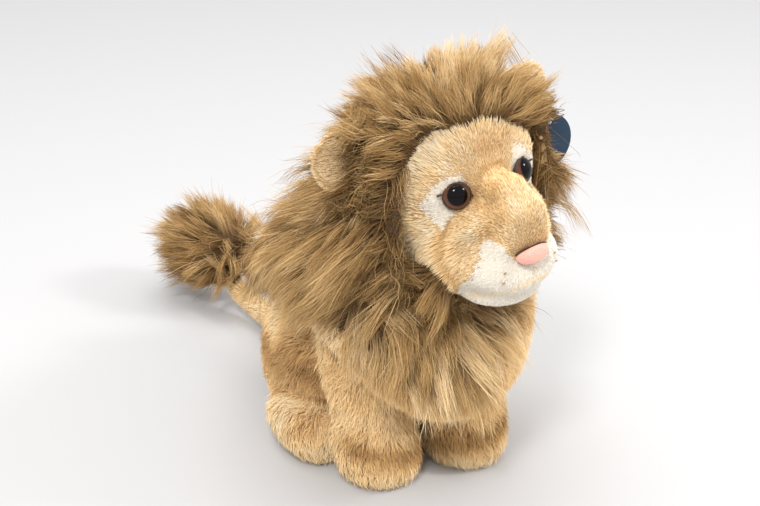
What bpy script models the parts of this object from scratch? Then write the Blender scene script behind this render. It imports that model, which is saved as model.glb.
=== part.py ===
"""Plush lion sitting up, with its head turned a little to its left.

Metres, +Z up. The lion faces -Y and its left side is +X. The origin is the
middle of the flat under the seat, where the toy rests. Each sewn panel, each
stuffed limb and each fitting is one object. Head pieces are built straight
ahead and hang on an empty at the neck that turns them.
"""
import math

import bmesh
import bpy
from mathutils import Matrix, Vector

# Clearances and cloth, shared by all pieces
seam_gap = 0.0004
face_gap = 0.0006
neck_gap = 0.0006
skin_thickness = 0.0024
fill_clearance = 0.0008
rest_cut = 0.0016
cutter_overrun = 0.002
cutter_reach = 0.4

# Torso, from the chest back to the rump
torso_length = 0.168
torso_width = 0.102
torso_height = 0.152
torso_front = 0.122

# Forelegs
foreleg_height = 0.122
foreleg_width = 0.045
foreleg_depth = 0.050
foreleg_inset = 0.025
foreleg_behind_chest = 0.038
foreleg_spacing = torso_width - 2.0 * foreleg_inset
foreleg_ahead = torso_front - foreleg_behind_chest

# Haunches and hind feet
haunch_length = 0.082
haunch_width = 0.046
haunch_height = 0.098
haunch_inset = 0.010
haunch_spacing = torso_width - 2.0 * haunch_inset
haunch_ahead = 0.029
foot_length = 0.058
foot_width = 0.040
foot_height = 0.037
foot_inset = 0.0045
foot_spacing = torso_width - 2.0 * foot_inset
foot_ahead = 0.067

# Tail and its tuft
tail_root_inset = 0.003
tail_root_back = torso_length - torso_front - tail_root_inset
tail_root_height = 0.030
tail_reach = 0.128
tail_drift = 0.0195
tail_radius = 0.0095
tail_socket_radius = 0.012
tuft_length = 0.066
tuft_radius = 0.027
tuft_rise = 0.038

# Pellet bag inside the seat
pellet_bag_length = 0.046
pellet_bag_width = 0.056
pellet_bag_height = 0.030
pellet_bag_floor = 0.0016

# Neck: where the head is carried, how far it leans forward and is turned
neck_aside = 0.0
neck_behind_chest = 0.037
neck_below_back = 0.016
neck_ahead = torso_front - neck_behind_chest
neck_height = torso_height - neck_below_back
neck_lean_deg = 35.0
head_turn_deg = 12.0

# Head, measured from the point midway between the eyes
eye_level = 0.0445
eye_plane_ahead = 0.0595
head_length = 0.084
head_width = 0.090
head_height = 0.104
brow_ahead = 0.0035

# Muzzle, chin, nose bridge, cheeks and nose
muzzle_width = 0.059
muzzle_height = 0.034
muzzle_drop = 0.0185
muzzle_ahead = 0.031
muzzle_length = 0.046
chin_width = 0.050
chin_height = 0.016
chin_drop = 0.0465
chin_ahead = 0.023
chin_length = 0.040
bridge_width = 0.034
bridge_height = 0.046
bridge_thickness = 0.028
bridge_top = 0.021
bridge_ahead = 0.035
cheek_width = 0.022
cheek_height = 0.046
cheek_length = 0.030
cheek_spacing = 0.054
cheek_drop = 0.009
cheek_ahead = 0.008
nose_width = 0.022
nose_height = 0.0115
nose_length = 0.012
nose_drop = 0.0275
nose_ahead = 0.0350

# Eyes, their lock washers and the white patches round them
eye_spacing = 0.040
eye_diameter = 0.014
eye_dome_height = 0.0052
eye_rim = 0.0008
eye_front_ahead = 0.0050
eye_outward_deg = 24.0
eye_tilt_deg = 3.0
shank_diameter = 0.0034
shank_length = 0.012
washer_diameter = 0.012
washer_thickness = 0.0014
washer_depth = 0.0078
patch_width = 0.027
patch_height = 0.034
patch_thickness = 0.0016
patch_reach = 0.060

# Ears
ear_spacing = 0.094
ear_level = 0.019
ear_behind = 0.042
ear_length = 0.025
ear_height = 0.031
ear_back_thickness = 0.0034
ear_lining_thickness = 0.0026
ear_edge = 0.0010
ear_cup_depth = 0.0040
ear_pocket_half_width = 0.0065
ear_pocket_floor = 0.0009
ear_sweep_deg = 25.0
ear_rise_deg = 5.0

# Mane on the head
ruff_width = 0.128
ruff_height = 0.140
ruff_length = 0.084
ruff_front = 0.009
ruff_drop = 0.082
face_opening_width = 0.090
face_opening_height = 0.092
face_opening_drop = 0.0155
face_opening_depth = 0.024
crown_half_angle_deg = 38.0

# Mane on the torso, by how far its pile stands out from the torso
chest_pile = 0.018
rump_pile = 0.008
side_pile = 0.014
back_pile = 0.010
bib_depth = 0.038
back_panel_width = 0.056
back_panel_front = -0.080

# Swing tag on its loop, measured from midway between the eyes
tag_diameter = 0.028
tag_thickness = 0.0012
tag_hole_diameter = 0.0036
tag_hole_inset = 0.0036
tag_aside = 0.0622
tag_behind = 0.0270
tag_hang_level = 0.0070
tag_clearance = 0.0012
tag_swing_deg = 22.0
loop_wire_diameter = 0.0009
loop_diameter = 0.010
loop_lean_deg = 50.0
loop_gap = 0.0002

# Section tables: shares of the length, width and height of their own piece.
# Along a body: how far along, half width, lowest and highest point.
torso_shares = (
    (0.00, 0.26, 0.50, 0.78),
    (0.07, 0.62, 0.38, 0.90),
    (0.20, 0.86, 0.24, 1.00),
    (0.38, 0.98, 0.09, 0.97),
    (0.58, 1.00, 0.00, 0.75),
    (0.76, 0.98, 0.00, 0.60),
    (0.91, 0.76, 0.01, 0.45),
    (1.00, 0.36, 0.11, 0.32),
)
haunch_shares = (
    (0.00, 0.30, 0.50, 0.74),
    (0.13, 0.74, 0.40, 0.88),
    (0.42, 1.00, 0.28, 1.00),
    (0.72, 0.92, 0.14, 0.94),
    (0.92, 0.60, 0.10, 0.70),
    (1.00, 0.26, 0.22, 0.50),
)
foot_shares = (
    (0.00, 0.42, 0.14, 0.66),
    (0.12, 0.84, 0.00, 0.96),
    (0.42, 1.00, 0.00, 1.00),
    (0.76, 0.92, 0.00, 1.00),
    (1.00, 0.60, 0.08, 0.90),
)
skull_shares = (
    (0.00, 0.30, 0.46, 0.80),
    (0.05, 0.56, 0.30, 0.90),
    (0.16, 0.82, 0.14, 0.97),
    (0.32, 0.95, 0.02, 1.00),
    (0.55, 1.00, 0.00, 1.00),
    (0.76, 0.88, 0.07, 0.95),
    (0.93, 0.58, 0.20, 0.81),
    (1.00, 0.26, 0.34, 0.66),
)
muzzle_shares = (
    (0.00, 0.34, 0.26, 0.62),
    (0.10, 0.70, 0.06, 0.90),
    (0.32, 0.94, 0.00, 1.00),
    (0.66, 1.00, 0.00, 0.98),
    (1.00, 0.80, 0.10, 0.86),
)
chin_shares = (
    (0.00, 0.38, 0.40, 1.00),
    (0.14, 0.72, 0.16, 1.10),
    (0.46, 0.96, 0.00, 1.20),
    (1.00, 0.84, 0.10, 1.20),
)
cheek_shares = (
    (0.00, 0.36, 0.24, 0.72),
    (0.22, 0.82, 0.05, 0.92),
    (0.62, 1.00, 0.00, 1.00),
    (1.00, 0.70, 0.16, 0.84),
)
nose_shares = (
    (0.00, 0.50, 0.30, 0.86),
    (0.30, 0.92, 0.02, 1.00),
    (1.00, 0.90, 0.10, 0.90),
)
ruff_shares = (
    (0.00, 0.80, 0.02, 0.90),
    (0.14, 0.93, 0.00, 0.98),
    (0.40, 1.00, 0.00, 1.00),
    (0.66, 0.94, 0.00, 0.96),
    (0.88, 0.68, 0.08, 0.82),
    (1.00, 0.34, 0.20, 0.66),
)
cape_shares = (
    (0.00, 0.34, 0.34, 0.60),
    (0.07, 0.64, 0.28, 0.76),
    (0.18, 0.86, 0.28, 0.92),
    (0.32, 1.00, 0.38, 1.00),
    (0.50, 1.00, 0.44, 0.99),
    (0.68, 0.94, 0.44, 0.86),
    (0.86, 0.76, 0.40, 0.69),
    (1.00, 0.42, 0.36, 0.50),
)
pellet_shares = (
    (0.00, 0.40, 0.20, 0.80),
    (0.22, 0.86, 0.00, 1.00),
    (0.78, 0.86, 0.00, 1.00),
    (1.00, 0.40, 0.20, 0.80),
)

# Up a leg: height, sideways lean, backward lean, half width, half depth.
foreleg_shares = (
    (0.00, 0.00, 0.00, 0.72, 0.70),
    (0.06, 0.00, 0.00, 0.98, 0.98),
    (0.18, 0.01, 0.01, 1.02, 1.02),
    (0.30, 0.04, 0.07, 0.90, 0.86),
    (0.46, 0.11, 0.12, 0.94, 0.88),
    (0.66, 0.18, 0.16, 0.96, 0.96),
    (0.88, 0.16, 0.18, 0.74, 0.86),
    (1.00, 0.10, 0.20, 0.38, 0.48),
)

# Down the nose bridge: drop, how far forward, half width, half thickness.
bridge_shares = (
    (0.00, -0.10, 0.42, 0.50),
    (0.14, 0.17, 0.60, 0.86),
    (0.30, 0.46, 0.70, 1.00),
    (0.44, 0.73, 0.80, 1.00),
    (0.58, 0.91, 0.92, 1.00),
    (0.74, 0.99, 1.00, 1.00),
    (0.92, 0.99, 0.98, 0.84),
    (1.00, 0.92, 0.70, 0.56),
)

# Out along the tail: how far, drift to the side, height, radius.
tail_shares = (
    (-0.070, 0.00, 1.00, 0.66),
    (-0.034, 0.00, 1.00, 1.16),
    (0.006, 0.00, 1.00, 1.30),
    (0.074, 0.03, 0.92, 0.88),
    (0.280, 0.16, 0.46, 0.98),
    (0.550, 0.42, 0.33, 0.94),
    (0.820, 0.76, 0.50, 0.86),
    (1.000, 1.00, 0.90, 0.72),
)
tuft_shares = (
    (0.00, 0.52),
    (0.16, 0.86),
    (0.42, 1.00),
    (0.72, 0.86),
    (0.92, 0.50),
    (1.00, 0.22),
)

# Corner outlines, as shares of their own half width and half height.
patch_outline_shares = (
    (-0.72, -0.30), (-0.20, -0.96), (0.42, -0.74), (0.96, -0.18),
    (1.02, 0.36), (0.50, 0.92), (-0.16, 0.86), (-0.62, 0.34),
)
ear_outline_shares = (
    (0.00, -0.52), (0.14, -0.78), (0.36, -0.95), (0.62, -0.98), (0.84, -0.76),
    (0.97, -0.40), (1.00, 0.00), (0.97, 0.40), (0.84, 0.76), (0.62, 0.98),
    (0.36, 0.95), (0.14, 0.78), (0.00, 0.52),
)
ear_ring_shares = (0.45, 0.80, 1.00)
ear_middle_share = 0.46
ear_lining_share = 0.80
face_squareness_share = 0.80
skull_drop_share = 0.555
ruff_lean_share = 0.16
patch_centre_share = 0.30
tuft_middle_share = 0.42

# Cage rings: how many corners, and the first corner's place as a share of a step.
# Pieces that cut each other start at other places, so their corners never meet.
limb_ring = (8, 0.50)
haunch_ring = (8, 0.38)
foot_ring = (8, 0.60)
bag_ring = (8, 0.40)
torso_ring = (10, 0.50)
cape_ring = (10, 0.57)
skull_ring = (10, 0.50)
ruff_ring = (10, 0.58)
muzzle_ring = (10, 0.43)
bridge_ring = (8, 0.46)
chin_ring = (8, 0.55)
cheek_ring = (8, 0.52)
nose_ring = (8, 0.41)
tail_ring = (8, 0.50)
tuft_ring = (10, 0.43)
round_segments = 16
card_segments = 32
opening_corners = 22
opening_start_share = 0.31


def clear_scene():
    for old in list(bpy.data.objects):
        bpy.data.objects.remove(old, do_unlink=True)


def make_collection(name):
    collection = bpy.data.collections.new(name)
    bpy.context.scene.collection.children.link(collection)
    return collection


def make_material(name, colour, roughness, metallic=0.0):
    material = bpy.data.materials.new(name)
    material.use_nodes = True
    shader = material.node_tree.nodes["Principled BSDF"]
    shader.inputs["Base Color"].default_value = (*colour, 1.0)
    shader.inputs["Roughness"].default_value = roughness
    shader.inputs["Metallic"].default_value = metallic
    return material


def smooth_shade(mesh):
    mesh.shade_smooth()
    mesh.set_sharp_from_angle(angle=math.radians(50.0))


def add_object(name, mesh, collection, material=None, parent=None):
    piece = bpy.data.objects.new(name, mesh)
    collection.objects.link(piece)
    if material is not None:
        mesh.materials.append(material)
    if parent is not None:
        piece.parent = parent
    smooth_shade(mesh)
    return piece


def hide_cutter(piece):
    piece.hide_render = True
    piece.display_type = "WIRE"


def subdivide(piece, levels=1):
    smooth = piece.modifiers.new("Rounded", "SUBSURF")
    smooth.levels = levels
    smooth.render_levels = levels
    return smooth


def cut(piece, cutter, operation="DIFFERENCE"):
    boolean = piece.modifiers.new(cutter.name, "BOOLEAN")
    boolean.operation = operation
    boolean.object = cutter
    boolean.solver = "EXACT"


def cut_by(piece, *cutters):
    for cutter in cutters:
        cut(piece, cutter)


def ring_points(centre, side, rise, ring):
    """An oval ring; the cage is swelled to allow for the smoothing after it."""
    corners, start = ring
    swell = 6.0 / (4.0 + 2.0 * math.cos(2.0 * math.pi / corners))
    points = []
    for index in range(corners):
        angle = 2.0 * math.pi * (index + start) / corners
        offset = side * math.cos(angle) + rise * math.sin(angle)
        points.append(centre + offset * swell)
    return points


def cage_mesh(name, rings, ring):
    """A closed cage through oval rings, each given by centre, side and rise."""
    build = bmesh.new()
    loops = []
    for centre, side, rise in rings:
        loops.append([build.verts.new(p) for p in ring_points(centre, side, rise, ring)])
    for near, far in zip(loops, loops[1:]):
        for index in range(len(near)):
            after = (index + 1) % len(near)
            build.faces.new((near[index], near[after], far[after], far[index]))
    build.faces.new(loops[0])
    build.faces.new(loops[-1])
    bmesh.ops.recalc_face_normals(build, faces=build.faces)
    mesh = bpy.data.meshes.new(name)
    build.to_mesh(mesh)
    build.free()
    return mesh


def body_rings(front, length, width, height, bottom, shares, aside=0.0):
    """Rings along Y from the front, for a body that lies front to back."""
    rings = []
    for along, wide, low, high in shares:
        centre = Vector((aside, front + length * along,
                         bottom + height * (low + high) / 2.0))
        side = Vector((width / 2.0 * wide, 0.0, 0.0))
        rise = Vector((0.0, 0.0, height * (high - low) / 2.0))
        rings.append((centre, side, rise))
    return rings


def leg_rings(side_sign):
    rings = []
    for up, lean_aside, lean_back, wide, deep in foreleg_shares:
        centre = Vector((side_sign * (foreleg_spacing / 2.0 + foreleg_width * lean_aside),
                         -foreleg_ahead + foreleg_depth * lean_back,
                         -rest_cut + foreleg_height * up))
        side = Vector((foreleg_width / 2.0 * wide, 0.0, 0.0))
        deep_vector = Vector((0.0, foreleg_depth / 2.0 * deep, 0.0))
        rings.append((centre, side, deep_vector))
    return rings


class Workshop:
    """Holds the two collections and the cutters that several pieces share."""

    def __init__(self):
        self.toy = make_collection("plush_lion")
        self.tools = make_collection("cutters")

    def swelling(self, name, rings, material, parent=None, ring=limb_ring):
        piece = add_object(name, cage_mesh(name, rings, ring), self.toy, material, parent)
        subdivide(piece)
        return piece

    def grown(self, name, rings, by, parent=None, ring=limb_ring):
        """A cutter: the same swelling form, grown all over by one distance."""
        cutter = add_object(name, cage_mesh(name, rings, ring), self.tools, parent=parent)
        subdivide(cutter)
        grow = cutter.modifiers.new("Grown", "DISPLACE")
        grow.strength = by
        grow.mid_level = 0.0
        hide_cutter(cutter)
        return cutter

    def block(self, name, size, centre, parent=None, rotation=None):
        build = bmesh.new()
        bmesh.ops.create_cube(build, size=1.0)
        bmesh.ops.scale(build, vec=Vector(size), verts=build.verts)
        bmesh.ops.translate(build, vec=Vector(centre), verts=build.verts)
        if rotation is not None:
            bmesh.ops.transform(build, matrix=rotation, verts=build.verts)
        mesh = bpy.data.meshes.new(name)
        build.to_mesh(mesh)
        build.free()
        cutter = add_object(name, mesh, self.tools, parent=parent)
        hide_cutter(cutter)
        return cutter

    def prism(self, name, outline, depth, matrix, parent=None):
        """A cutter: an outline in the XY plane, drawn out both ways along Z."""
        build = bmesh.new()
        bottom = [build.verts.new((x, y, -depth / 2.0)) for x, y in outline]
        top = [build.verts.new((x, y, depth / 2.0)) for x, y in outline]
        count = len(outline)
        for index in range(count):
            after = (index + 1) % count
            build.faces.new((bottom[index], bottom[after], top[after], top[index]))
        build.faces.new(bottom)
        build.faces.new(top)
        bmesh.ops.transform(build, matrix=matrix, verts=build.verts)
        bmesh.ops.recalc_face_normals(build, faces=build.faces)
        mesh = bpy.data.meshes.new(name)
        build.to_mesh(mesh)
        build.free()
        cutter = add_object(name, mesh, self.tools, parent=parent)
        hide_cutter(cutter)
        return cutter

    def ball(self, name, radius, parent):
        build = bmesh.new()
        bmesh.ops.create_uvsphere(build, u_segments=round_segments,
                                  v_segments=round_segments // 2, radius=radius)
        mesh = bpy.data.meshes.new(name)
        build.to_mesh(mesh)
        build.free()
        cutter = add_object(name, mesh, self.tools, parent=parent)
        hide_cutter(cutter)
        return cutter

    def rod(self, name, radius, length, matrix, parent=None, collection=None,
            segments=round_segments):
        build = bmesh.new()
        bmesh.ops.create_cone(build, cap_ends=True, segments=segments,
                              radius1=radius, radius2=radius, depth=length)
        bmesh.ops.transform(build, matrix=matrix, verts=build.verts)
        mesh = bpy.data.meshes.new(name)
        build.to_mesh(mesh)
        build.free()
        cutter = add_object(name, mesh, collection or self.tools, parent=parent)
        hide_cutter(cutter)
        return cutter


def materials():
    blond = (0.66, 0.45, 0.24)
    white = (0.86, 0.82, 0.74)
    mane = (0.30, 0.17, 0.07)
    return {
        "blond_plush": make_material("blond_plush", blond, 0.9),
        "white_plush": make_material("white_plush", white, 0.9),
        "mane_pile": make_material("mane_pile", mane, 0.85),
        "nose_cloth": make_material("nose_cloth", (0.86, 0.38, 0.30), 0.55),
        "eye_plastic": make_material("eye_plastic", (0.03, 0.015, 0.01), 0.12),
        "washer_plastic": make_material("washer_plastic", (0.80, 0.80, 0.78), 0.45),
        "fibre_fill": make_material("fibre_fill", (0.88, 0.88, 0.86), 0.95),
        "pellet_cloth": make_material("pellet_cloth", (0.70, 0.70, 0.68), 0.8),
        "tag_card": make_material("tag_card", (0.02, 0.05, 0.12), 0.5),
        "loop_nylon": make_material("loop_nylon", (0.75, 0.75, 0.75), 0.4),
    }


def neck_frame():
    """The empty at the neck. Its turn is about the leaning neck axis."""
    lean = math.radians(neck_lean_deg)
    axis = Vector((0.0, -math.sin(lean), math.cos(lean)))
    pivot = bpy.data.objects.new("neck_pivot", None)
    pivot.matrix_world = (
        Matrix.Translation((neck_aside, -neck_ahead, neck_height))
        @ Matrix.Rotation(math.radians(head_turn_deg), 4, axis)
    )
    return pivot


def neck_tilt():
    return Matrix.Rotation(math.radians(neck_lean_deg), 4, "X")


def torso_pieces(shop, finish):
    """Torso skin, its filling, the pellet bag, legs, feet and haunches."""
    rings = body_rings(-torso_front, torso_length, torso_width, torso_height,
                       -rest_cut, torso_shares)
    half_reach = cutter_reach / 2.0
    at_neck = Matrix.Translation((neck_aside, -neck_ahead, neck_height)) @ neck_tilt()
    over_neck = shop.block("space_over_neck", (cutter_reach,) * 3,
                           (0.0, 0.0, half_reach - neck_gap / 2.0), rotation=at_neck)
    floor = shop.block("floor", (cutter_reach * 2.0, cutter_reach * 2.0, cutter_reach),
                       (0.0, 0.0, -half_reach))
    torso_space = shop.grown("torso_space", rings, seam_gap, ring=torso_ring)

    skin = shop.swelling("torso_skin", rings, finish["blond_plush"], ring=torso_ring)
    wall = skin.modifiers.new("Cloth", "SOLIDIFY")
    wall.thickness = skin_thickness
    wall.offset = -1.0
    cut_by(skin, over_neck, floor)

    filling = shop.swelling("torso_stuffing", rings, finish["fibre_fill"], ring=torso_ring)
    inset = filling.modifiers.new("Inset", "DISPLACE")
    inset.strength = -(skin_thickness + fill_clearance)
    inset.mid_level = 0.0

    bag_rings = body_rings(-pellet_bag_length / 2.0, pellet_bag_length, pellet_bag_width,
                           pellet_bag_height, pellet_bag_floor, pellet_shares)
    shop.swelling("seat_pellet_bag", bag_rings, finish["pellet_cloth"], ring=bag_ring)
    bag_space = shop.grown("pellet_bag_space", bag_rings, seam_gap, ring=bag_ring)
    cut_by(filling, over_neck, bag_space)

    tail_pieces(shop, finish, skin, filling)

    spaces = {"over_neck": over_neck, "floor": floor, "torso": torso_space}
    for side, sign in (("right", -1.0), ("left", 1.0)):
        limb_pieces(shop, finish, side, sign, spaces)
    return spaces


def limb_pieces(shop, finish, side, sign, spaces):
    blond = finish["blond_plush"]
    haunch_rings = body_rings(-haunch_ahead - haunch_length / 2.0, haunch_length,
                              haunch_width, haunch_height, -rest_cut, haunch_shares,
                              sign * haunch_spacing / 2.0)
    haunch = shop.swelling("haunch_" + side, haunch_rings, blond, ring=haunch_ring)
    cut_by(haunch, spaces["torso"], spaces["floor"])
    haunch_space = shop.grown("haunch_space_" + side, haunch_rings, seam_gap,
                              ring=haunch_ring)

    foreleg = shop.swelling("foreleg_" + side, leg_rings(sign), blond)
    cut_by(foreleg, spaces["torso"], haunch_space, spaces["floor"])
    foreleg_space = shop.grown("foreleg_space_" + side, leg_rings(sign), seam_gap)

    foot_rings = body_rings(-foot_ahead, foot_length, foot_width, foot_height,
                            -rest_cut, foot_shares, sign * foot_spacing / 2.0)
    foot = shop.swelling("hind_foot_" + side, foot_rings, blond, ring=foot_ring)
    cut_by(foot, spaces["torso"], haunch_space, foreleg_space, spaces["floor"])
    spaces["haunch_" + side] = haunch_space
    spaces["foreleg_" + side] = foreleg_space


def tail_pieces(shop, finish, torso_skin, torso_stuffing):
    """The stem swings about an upright axis at its root; the tuft is on its end."""
    pivot = bpy.data.objects.new("tail_pivot", None)
    pivot.location = Vector((0.0, tail_root_back, tail_root_height))
    shop.toy.objects.link(pivot)
    socket = shop.ball("tail_socket", tail_socket_radius + seam_gap, pivot)
    deep_socket = shop.ball("tail_socket_in_filling",
                            tail_socket_radius + skin_thickness + fill_clearance, pivot)
    cut_by(torso_skin, socket)
    cut_by(torso_stuffing, deep_socket)
    heading = Vector((-tail_drift, tail_reach, 0.0)).normalized()
    across = Vector((heading.y, -heading.x, 0.0))
    upright = Vector((0.0, 0.0, 1.0))
    rings = []
    for along, drift, height, radius in tail_shares:
        centre = Vector((-tail_drift * drift, tail_reach * along,
                         tail_root_height * (height - 1.0)))
        rings.append((centre, across * tail_radius * radius,
                      upright * tail_radius * radius))
    shop.swelling("tail_stem", rings, finish["blond_plush"], pivot, tail_ring)
    stem_space = shop.grown("tail_stem_space", rings, seam_gap, pivot, tail_ring)
    tip = rings[-1][0]
    tuft_rings = []
    for along, radius in tuft_shares:
        centre = Vector((tip.x, tip.y, tuft_rise - tail_root_height))
        centre += heading * tuft_length * (along - tuft_middle_share)
        tuft_rings.append((centre, across * tuft_radius * radius,
                           upright * tuft_radius * radius))
    tuft = shop.swelling("tail_tuft", tuft_rings, finish["mane_pile"], pivot, tuft_ring)
    cut_by(tuft, stem_space)


def head_point(aside, ahead, up):
    """A place on the head, measured from midway between the eyes."""
    return Vector((aside, -eye_plane_ahead - ahead, eye_level + up))


def lobe_rings(ahead, length, width, height, lowest, shares, aside=0.0):
    """Rings for a lobe of the face, from its front back, below the eye line."""
    return body_rings(-eye_plane_ahead - ahead, length, width, height,
                      eye_level + lowest, shares, aside)


def bridge_rings():
    rings = []
    slope = Vector((0.0, -bridge_ahead, -bridge_height)).normalized()
    outward = Vector((0.0, slope.z, -slope.y))
    for down, forward, wide, thick in bridge_shares:
        centre = head_point(0.0, bridge_ahead * forward, bridge_top - bridge_height * down)
        centre -= outward * bridge_thickness / 2.0
        rings.append((centre, Vector((bridge_width / 2.0 * wide, 0.0, 0.0)),
                      outward * bridge_thickness / 2.0 * thick))
    return rings


def eye_matrix(sign):
    """Stands at the middle of the eye's rim, with +Z out of the face."""
    yaw = Matrix.Rotation(sign * math.radians(eye_outward_deg), 4, "Z")
    tilt = Matrix.Rotation(math.radians(90.0 - eye_tilt_deg), 4, "X")
    place = head_point(sign * eye_spacing / 2.0, eye_front_ahead - eye_dome_height, 0.0)
    return Matrix.Translation(place) @ yaw @ tilt


def turned_mesh(name, profile, matrix):
    """A turned solid from a profile of radius and height, on its own axis."""
    build = bmesh.new()
    points = [build.verts.new((radius, 0.0, height)) for radius, height in profile]
    for near, far in zip(points, points[1:]):
        build.edges.new((near, far))
    bmesh.ops.spin(build, geom=build.verts[:] + build.edges[:], axis=(0.0, 0.0, 1.0),
                   cent=(0.0, 0.0, 0.0), steps=round_segments,
                   angle=2.0 * math.pi, use_merge=True)
    bmesh.ops.remove_doubles(build, verts=build.verts, dist=cutter_overrun / 1000.0)
    bmesh.ops.recalc_face_normals(build, faces=build.faces)
    bmesh.ops.transform(build, matrix=matrix, verts=build.verts)
    mesh = bpy.data.meshes.new(name)
    build.to_mesh(mesh)
    build.free()
    return mesh


def eye_profile(extra):
    """Shank, flat back and dome, grown by extra for the cutter."""
    dome_radius = eye_diameter / 2.0 + extra
    shank_radius = shank_diameter / 2.0 + extra
    profile = [(0.0, -shank_length - extra), (shank_radius, -shank_length - extra),
               (shank_radius, -eye_rim - extra), (dome_radius, -eye_rim - extra),
               (dome_radius, 0.0)]
    steps = 6
    for step in range(1, steps):
        angle = math.pi / 2.0 * step / steps
        profile.append((dome_radius * math.cos(angle),
                        (eye_dome_height + extra) * math.sin(angle)))
    profile.append((0.0, eye_dome_height + extra))
    return profile


def eye_pieces(shop, finish, side, sign, neck):
    """Eye with its shank, and the washer that locks it inside the head."""
    place = eye_matrix(sign)
    add_object("eye_" + side, turned_mesh("eye_" + side, eye_profile(0.0), place),
               shop.toy, finish["eye_plastic"], neck)
    bore = shank_diameter / 2.0 + seam_gap
    outer = washer_diameter / 2.0
    ring = [(bore, -washer_depth), (outer, -washer_depth),
            (outer, -washer_depth - washer_thickness),
            (bore, -washer_depth - washer_thickness), (bore, -washer_depth)]
    add_object("eye_washer_" + side, turned_mesh("eye_washer_" + side, ring, place),
               shop.toy, finish["washer_plastic"], neck)
    seat = add_object("eye_seat_" + side,
                      turned_mesh("eye_seat_" + side, eye_profile(seam_gap), place),
                      shop.tools, parent=neck)
    hide_cutter(seat)
    pocket_length = shank_length + 2.0 * cutter_overrun
    pocket = shop.rod("washer_pocket_" + side, eye_diameter / 2.0 + fill_clearance,
                      pocket_length,
                      place @ Matrix.Translation((0.0, 0.0, -shank_length / 2.0)), neck)
    return seat, pocket


def patch_piece(shop, finish, side, sign, neck, skull_rings, skull_space):
    """White patch round the eye: cut from a skin that lies on the skull."""
    outline = []
    for across, up in patch_outline_shares:
        outline.append((sign * patch_width / 2.0 * across, patch_height / 2.0 * up))
    place = head_point(sign * (eye_spacing / 2.0 + patch_width / 2.0 * patch_centre_share),
                       0.0, 0.0)
    turn = Matrix.Rotation(sign * math.radians(eye_outward_deg), 4, "Z")
    stand = Matrix.Rotation(math.radians(90.0), 4, "X")
    area = shop.prism("eye_patch_area_" + side, outline, patch_reach,
                      Matrix.Translation(place) @ turn @ stand, neck)
    patch = shop.swelling("eye_patch_" + side, skull_rings, finish["white_plush"], neck,
                          skull_ring)
    grow = patch.modifiers.new("Grown", "DISPLACE")
    grow.strength = seam_gap + patch_thickness
    grow.mid_level = 0.0
    cut(patch, area, "INTERSECT")
    cut_by(patch, skull_space)
    return patch


def face_pieces(shop, finish, neck, skull_rings, skull_space):
    """Muzzle, nose bridge, cheeks, chin and nose; each is cut by the larger ones."""
    blond, white = finish["blond_plush"], finish["white_plush"]
    muzzle_rings = lobe_rings(muzzle_ahead, muzzle_length, muzzle_width, muzzle_height,
                              -muzzle_drop - muzzle_height, muzzle_shares)
    muzzle = shop.swelling("muzzle", muzzle_rings, white, neck, muzzle_ring)
    cut_by(muzzle, skull_space)
    muzzle_space = shop.grown("muzzle_space", muzzle_rings, face_gap, neck, muzzle_ring)

    bridge = shop.swelling("nose_bridge", bridge_rings(), blond, neck, bridge_ring)
    cut_by(bridge, skull_space, muzzle_space)
    bridge_space = shop.grown("nose_bridge_space", bridge_rings(), face_gap, neck,
                              bridge_ring)

    nose_rings = lobe_rings(nose_ahead, nose_length, nose_width, nose_height,
                            -nose_drop - nose_height / 2.0, nose_shares)
    nose = shop.swelling("nose", nose_rings, finish["nose_cloth"], neck, nose_ring)
    cut_by(nose, skull_space, muzzle_space, bridge_space)

    spaces = [muzzle_space, bridge_space]
    for side, sign in (("right", -1.0), ("left", 1.0)):
        rings = lobe_rings(cheek_ahead, cheek_length, cheek_width, cheek_height,
                           -cheek_drop - cheek_height, cheek_shares,
                           sign * cheek_spacing / 2.0)
        cheek = shop.swelling("cheek_" + side, rings, blond, neck, cheek_ring)
        cut_by(cheek, skull_space, muzzle_space, bridge_space)
        spaces.append(shop.grown("cheek_space_" + side, rings, face_gap, neck, cheek_ring))

    chin_rings = lobe_rings(chin_ahead, chin_length, chin_width, chin_height,
                            -chin_drop - chin_height, chin_shares)
    chin = shop.swelling("chin", chin_rings, white, neck, chin_ring)
    cut_by(chin, skull_space, *spaces)
    return spaces


def ear_height_at(out, up):
    """How far the ear's middle face curls forward at a place on it, in shares."""
    spread = (out - ear_middle_share) ** 2 + up * up
    return -ear_cup_depth * spread


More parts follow.
